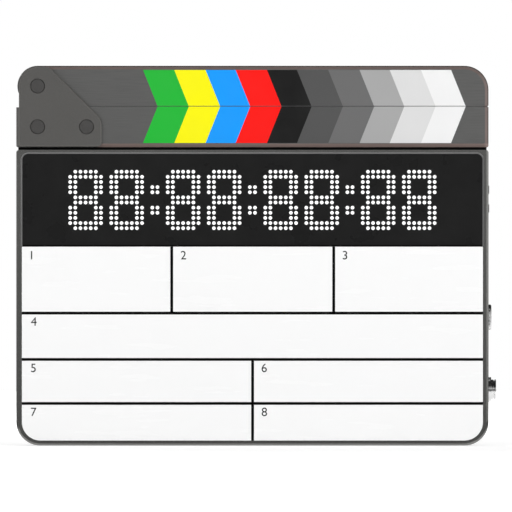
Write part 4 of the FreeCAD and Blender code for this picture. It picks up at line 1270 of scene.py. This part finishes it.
# Studio
def area_light(name, place, width, power, mirrored):
    """Square lamp that shows in polished surfaces only where it is mirrored."""
    data = bpy.data.lights.new(name, "AREA")
    data.energy = power
    data.size = width
    light = bpy.data.objects.new(name, data)
    light.location = place
    light.visible_glossy = mirrored
    light.rotation_euler = (Vector(LAMP_TARGET) - Vector(place)).to_track_quat("-Z", "Y").to_euler()
    bpy.context.scene.collection.objects.link(light)


def room_level(nodes):
    """Level of the room in a direction, which the ceiling, left wall and front make darker."""
    direction = nodes.add("ShaderNodeTexCoord").outputs["Generated"]
    level = 1.0
    for middle, start, full, dark in (CEILING, LEFT_WALL, ROOM_FRONT):
        share = nodes.vectors("DOT_PRODUCT", direction, middle)["Value"]
        level = nodes.math("MINIMUM", nodes.span(share, start, full, 1.0, dark, fade="SMOOTHSTEP"), level)
    return level


def world_light():
    """Even light on the object, white for camera and glass, and a room with dark parts in reflections."""
    world = bpy.data.worlds.new("studio")
    bpy.context.scene.world = world
    world.use_nodes = True
    nodes = Nodes(world.node_tree)
    even = nodes.tree.nodes["Background"]
    nodes.feed(even.inputs["Color"], WHITE)
    nodes.feed(even.inputs["Strength"], WORLD_LEVEL)
    surface = even.outputs[0]
    path = nodes.add("ShaderNodeLightPath")
    levels = {"Is Glossy Ray": room_level(nodes), "Is Transmission Ray": 1.0, "Is Camera Ray": 1.0}
    for ray, level in levels.items():
        background = nodes.add("ShaderNodeBackground", {"Color": WHITE, "Strength": level})
        inputs = {0: path.outputs[ray], 1: surface, 2: background.outputs[0]}
        surface = nodes.add("ShaderNodeMixShader", inputs).outputs[0]
    nodes.feed(nodes.tree.nodes["World Output"].inputs["Surface"], surface)


def floor_look():
    """Pale floor, which shows white where no shadow falls, and darker in some reflections."""
    look = Look("floor", FLOOR_PALE, 0.9, specular=0.0)
    path = look.add("ShaderNodeLightPath")
    seen = look.math("MAXIMUM", path.outputs["Is Camera Ray"], path.outputs["Is Transmission Ray"])
    away = look.vectors("LENGTH", look.place)["Value"]
    shown = look.every(seen, look.span(away, FLOOR_NEAR, FLOOR_FAR, FLOOR_GLOW, 1.0))
    along = look.axes(look.place)[ALONG]
    grazing = look.add("ShaderNodeLayerWeight").outputs["Facing"]
    lit = look.every(
        look.span(along, FLOOR_SHADE_FULL, FLOOR_SHADE_START, FLOOR_SHADE_LEVEL, 1.0),
        look.span(grazing, GRAZING_DARK, GRAZING_LIT),
    )
    mirrored = path.outputs["Is Glossy Ray"]
    shade = look.every(mirrored, look.math("SUBTRACT", 1.0, lit))
    look.paint(look.blend(shade, FLOOR_PALE, FLOOR_DARK))
    look.set("Emission Color", WHITE)
    look.set("Emission Strength", look.math("MAXIMUM", shown, look.every(mirrored, lit)))
    return look


def floor():
    def build(shape):
        corners = ((-1, -1), (1, -1), (1, 1), (-1, 1))
        shape.faces.new([shape.verts.new((x * FLOOR_HALF, y * FLOOR_HALF, 0)) for x, y in corners])

    mesh = mesh_from("floor", build)
    coat(mesh, floor_look())
    piece = bpy.data.objects.new("floor", mesh)
    bpy.context.scene.collection.objects.link(piece)


def camera():
    """Camera straight in front, as far off as the width of the photograph needs."""
    data = bpy.data.cameras.new("camera")
    data.lens = LENS_MM
    data.sensor_width = SENSOR_MM
    data.clip_end = CAMERA_REACH
    distance = VIEW_WIDTH * LENS_MM / SENSOR_MM
    eye = bpy.data.objects.new("camera", data)
    eye.location = (VIEW_CENTRE_X, cad_bounds[0].y - distance, VIEW_CENTRE_Z)
    eye.rotation_euler = (QUARTER_TURN, 0, 0)
    bpy.context.scene.collection.objects.link(eye)
    bpy.context.scene.camera = eye


def studio():
    for lamp in LAMPS:
        area_light(*lamp)
    world_light()
    floor()
    camera()
    bpy.context.scene.view_settings.view_transform = "Standard"


shared_chrome = port_chrome()
shared_nickel = bright_nickel()
dress_nodes(shared_chrome, shared_nickel)
add_pieces(shared_chrome, shared_nickel)
studio()
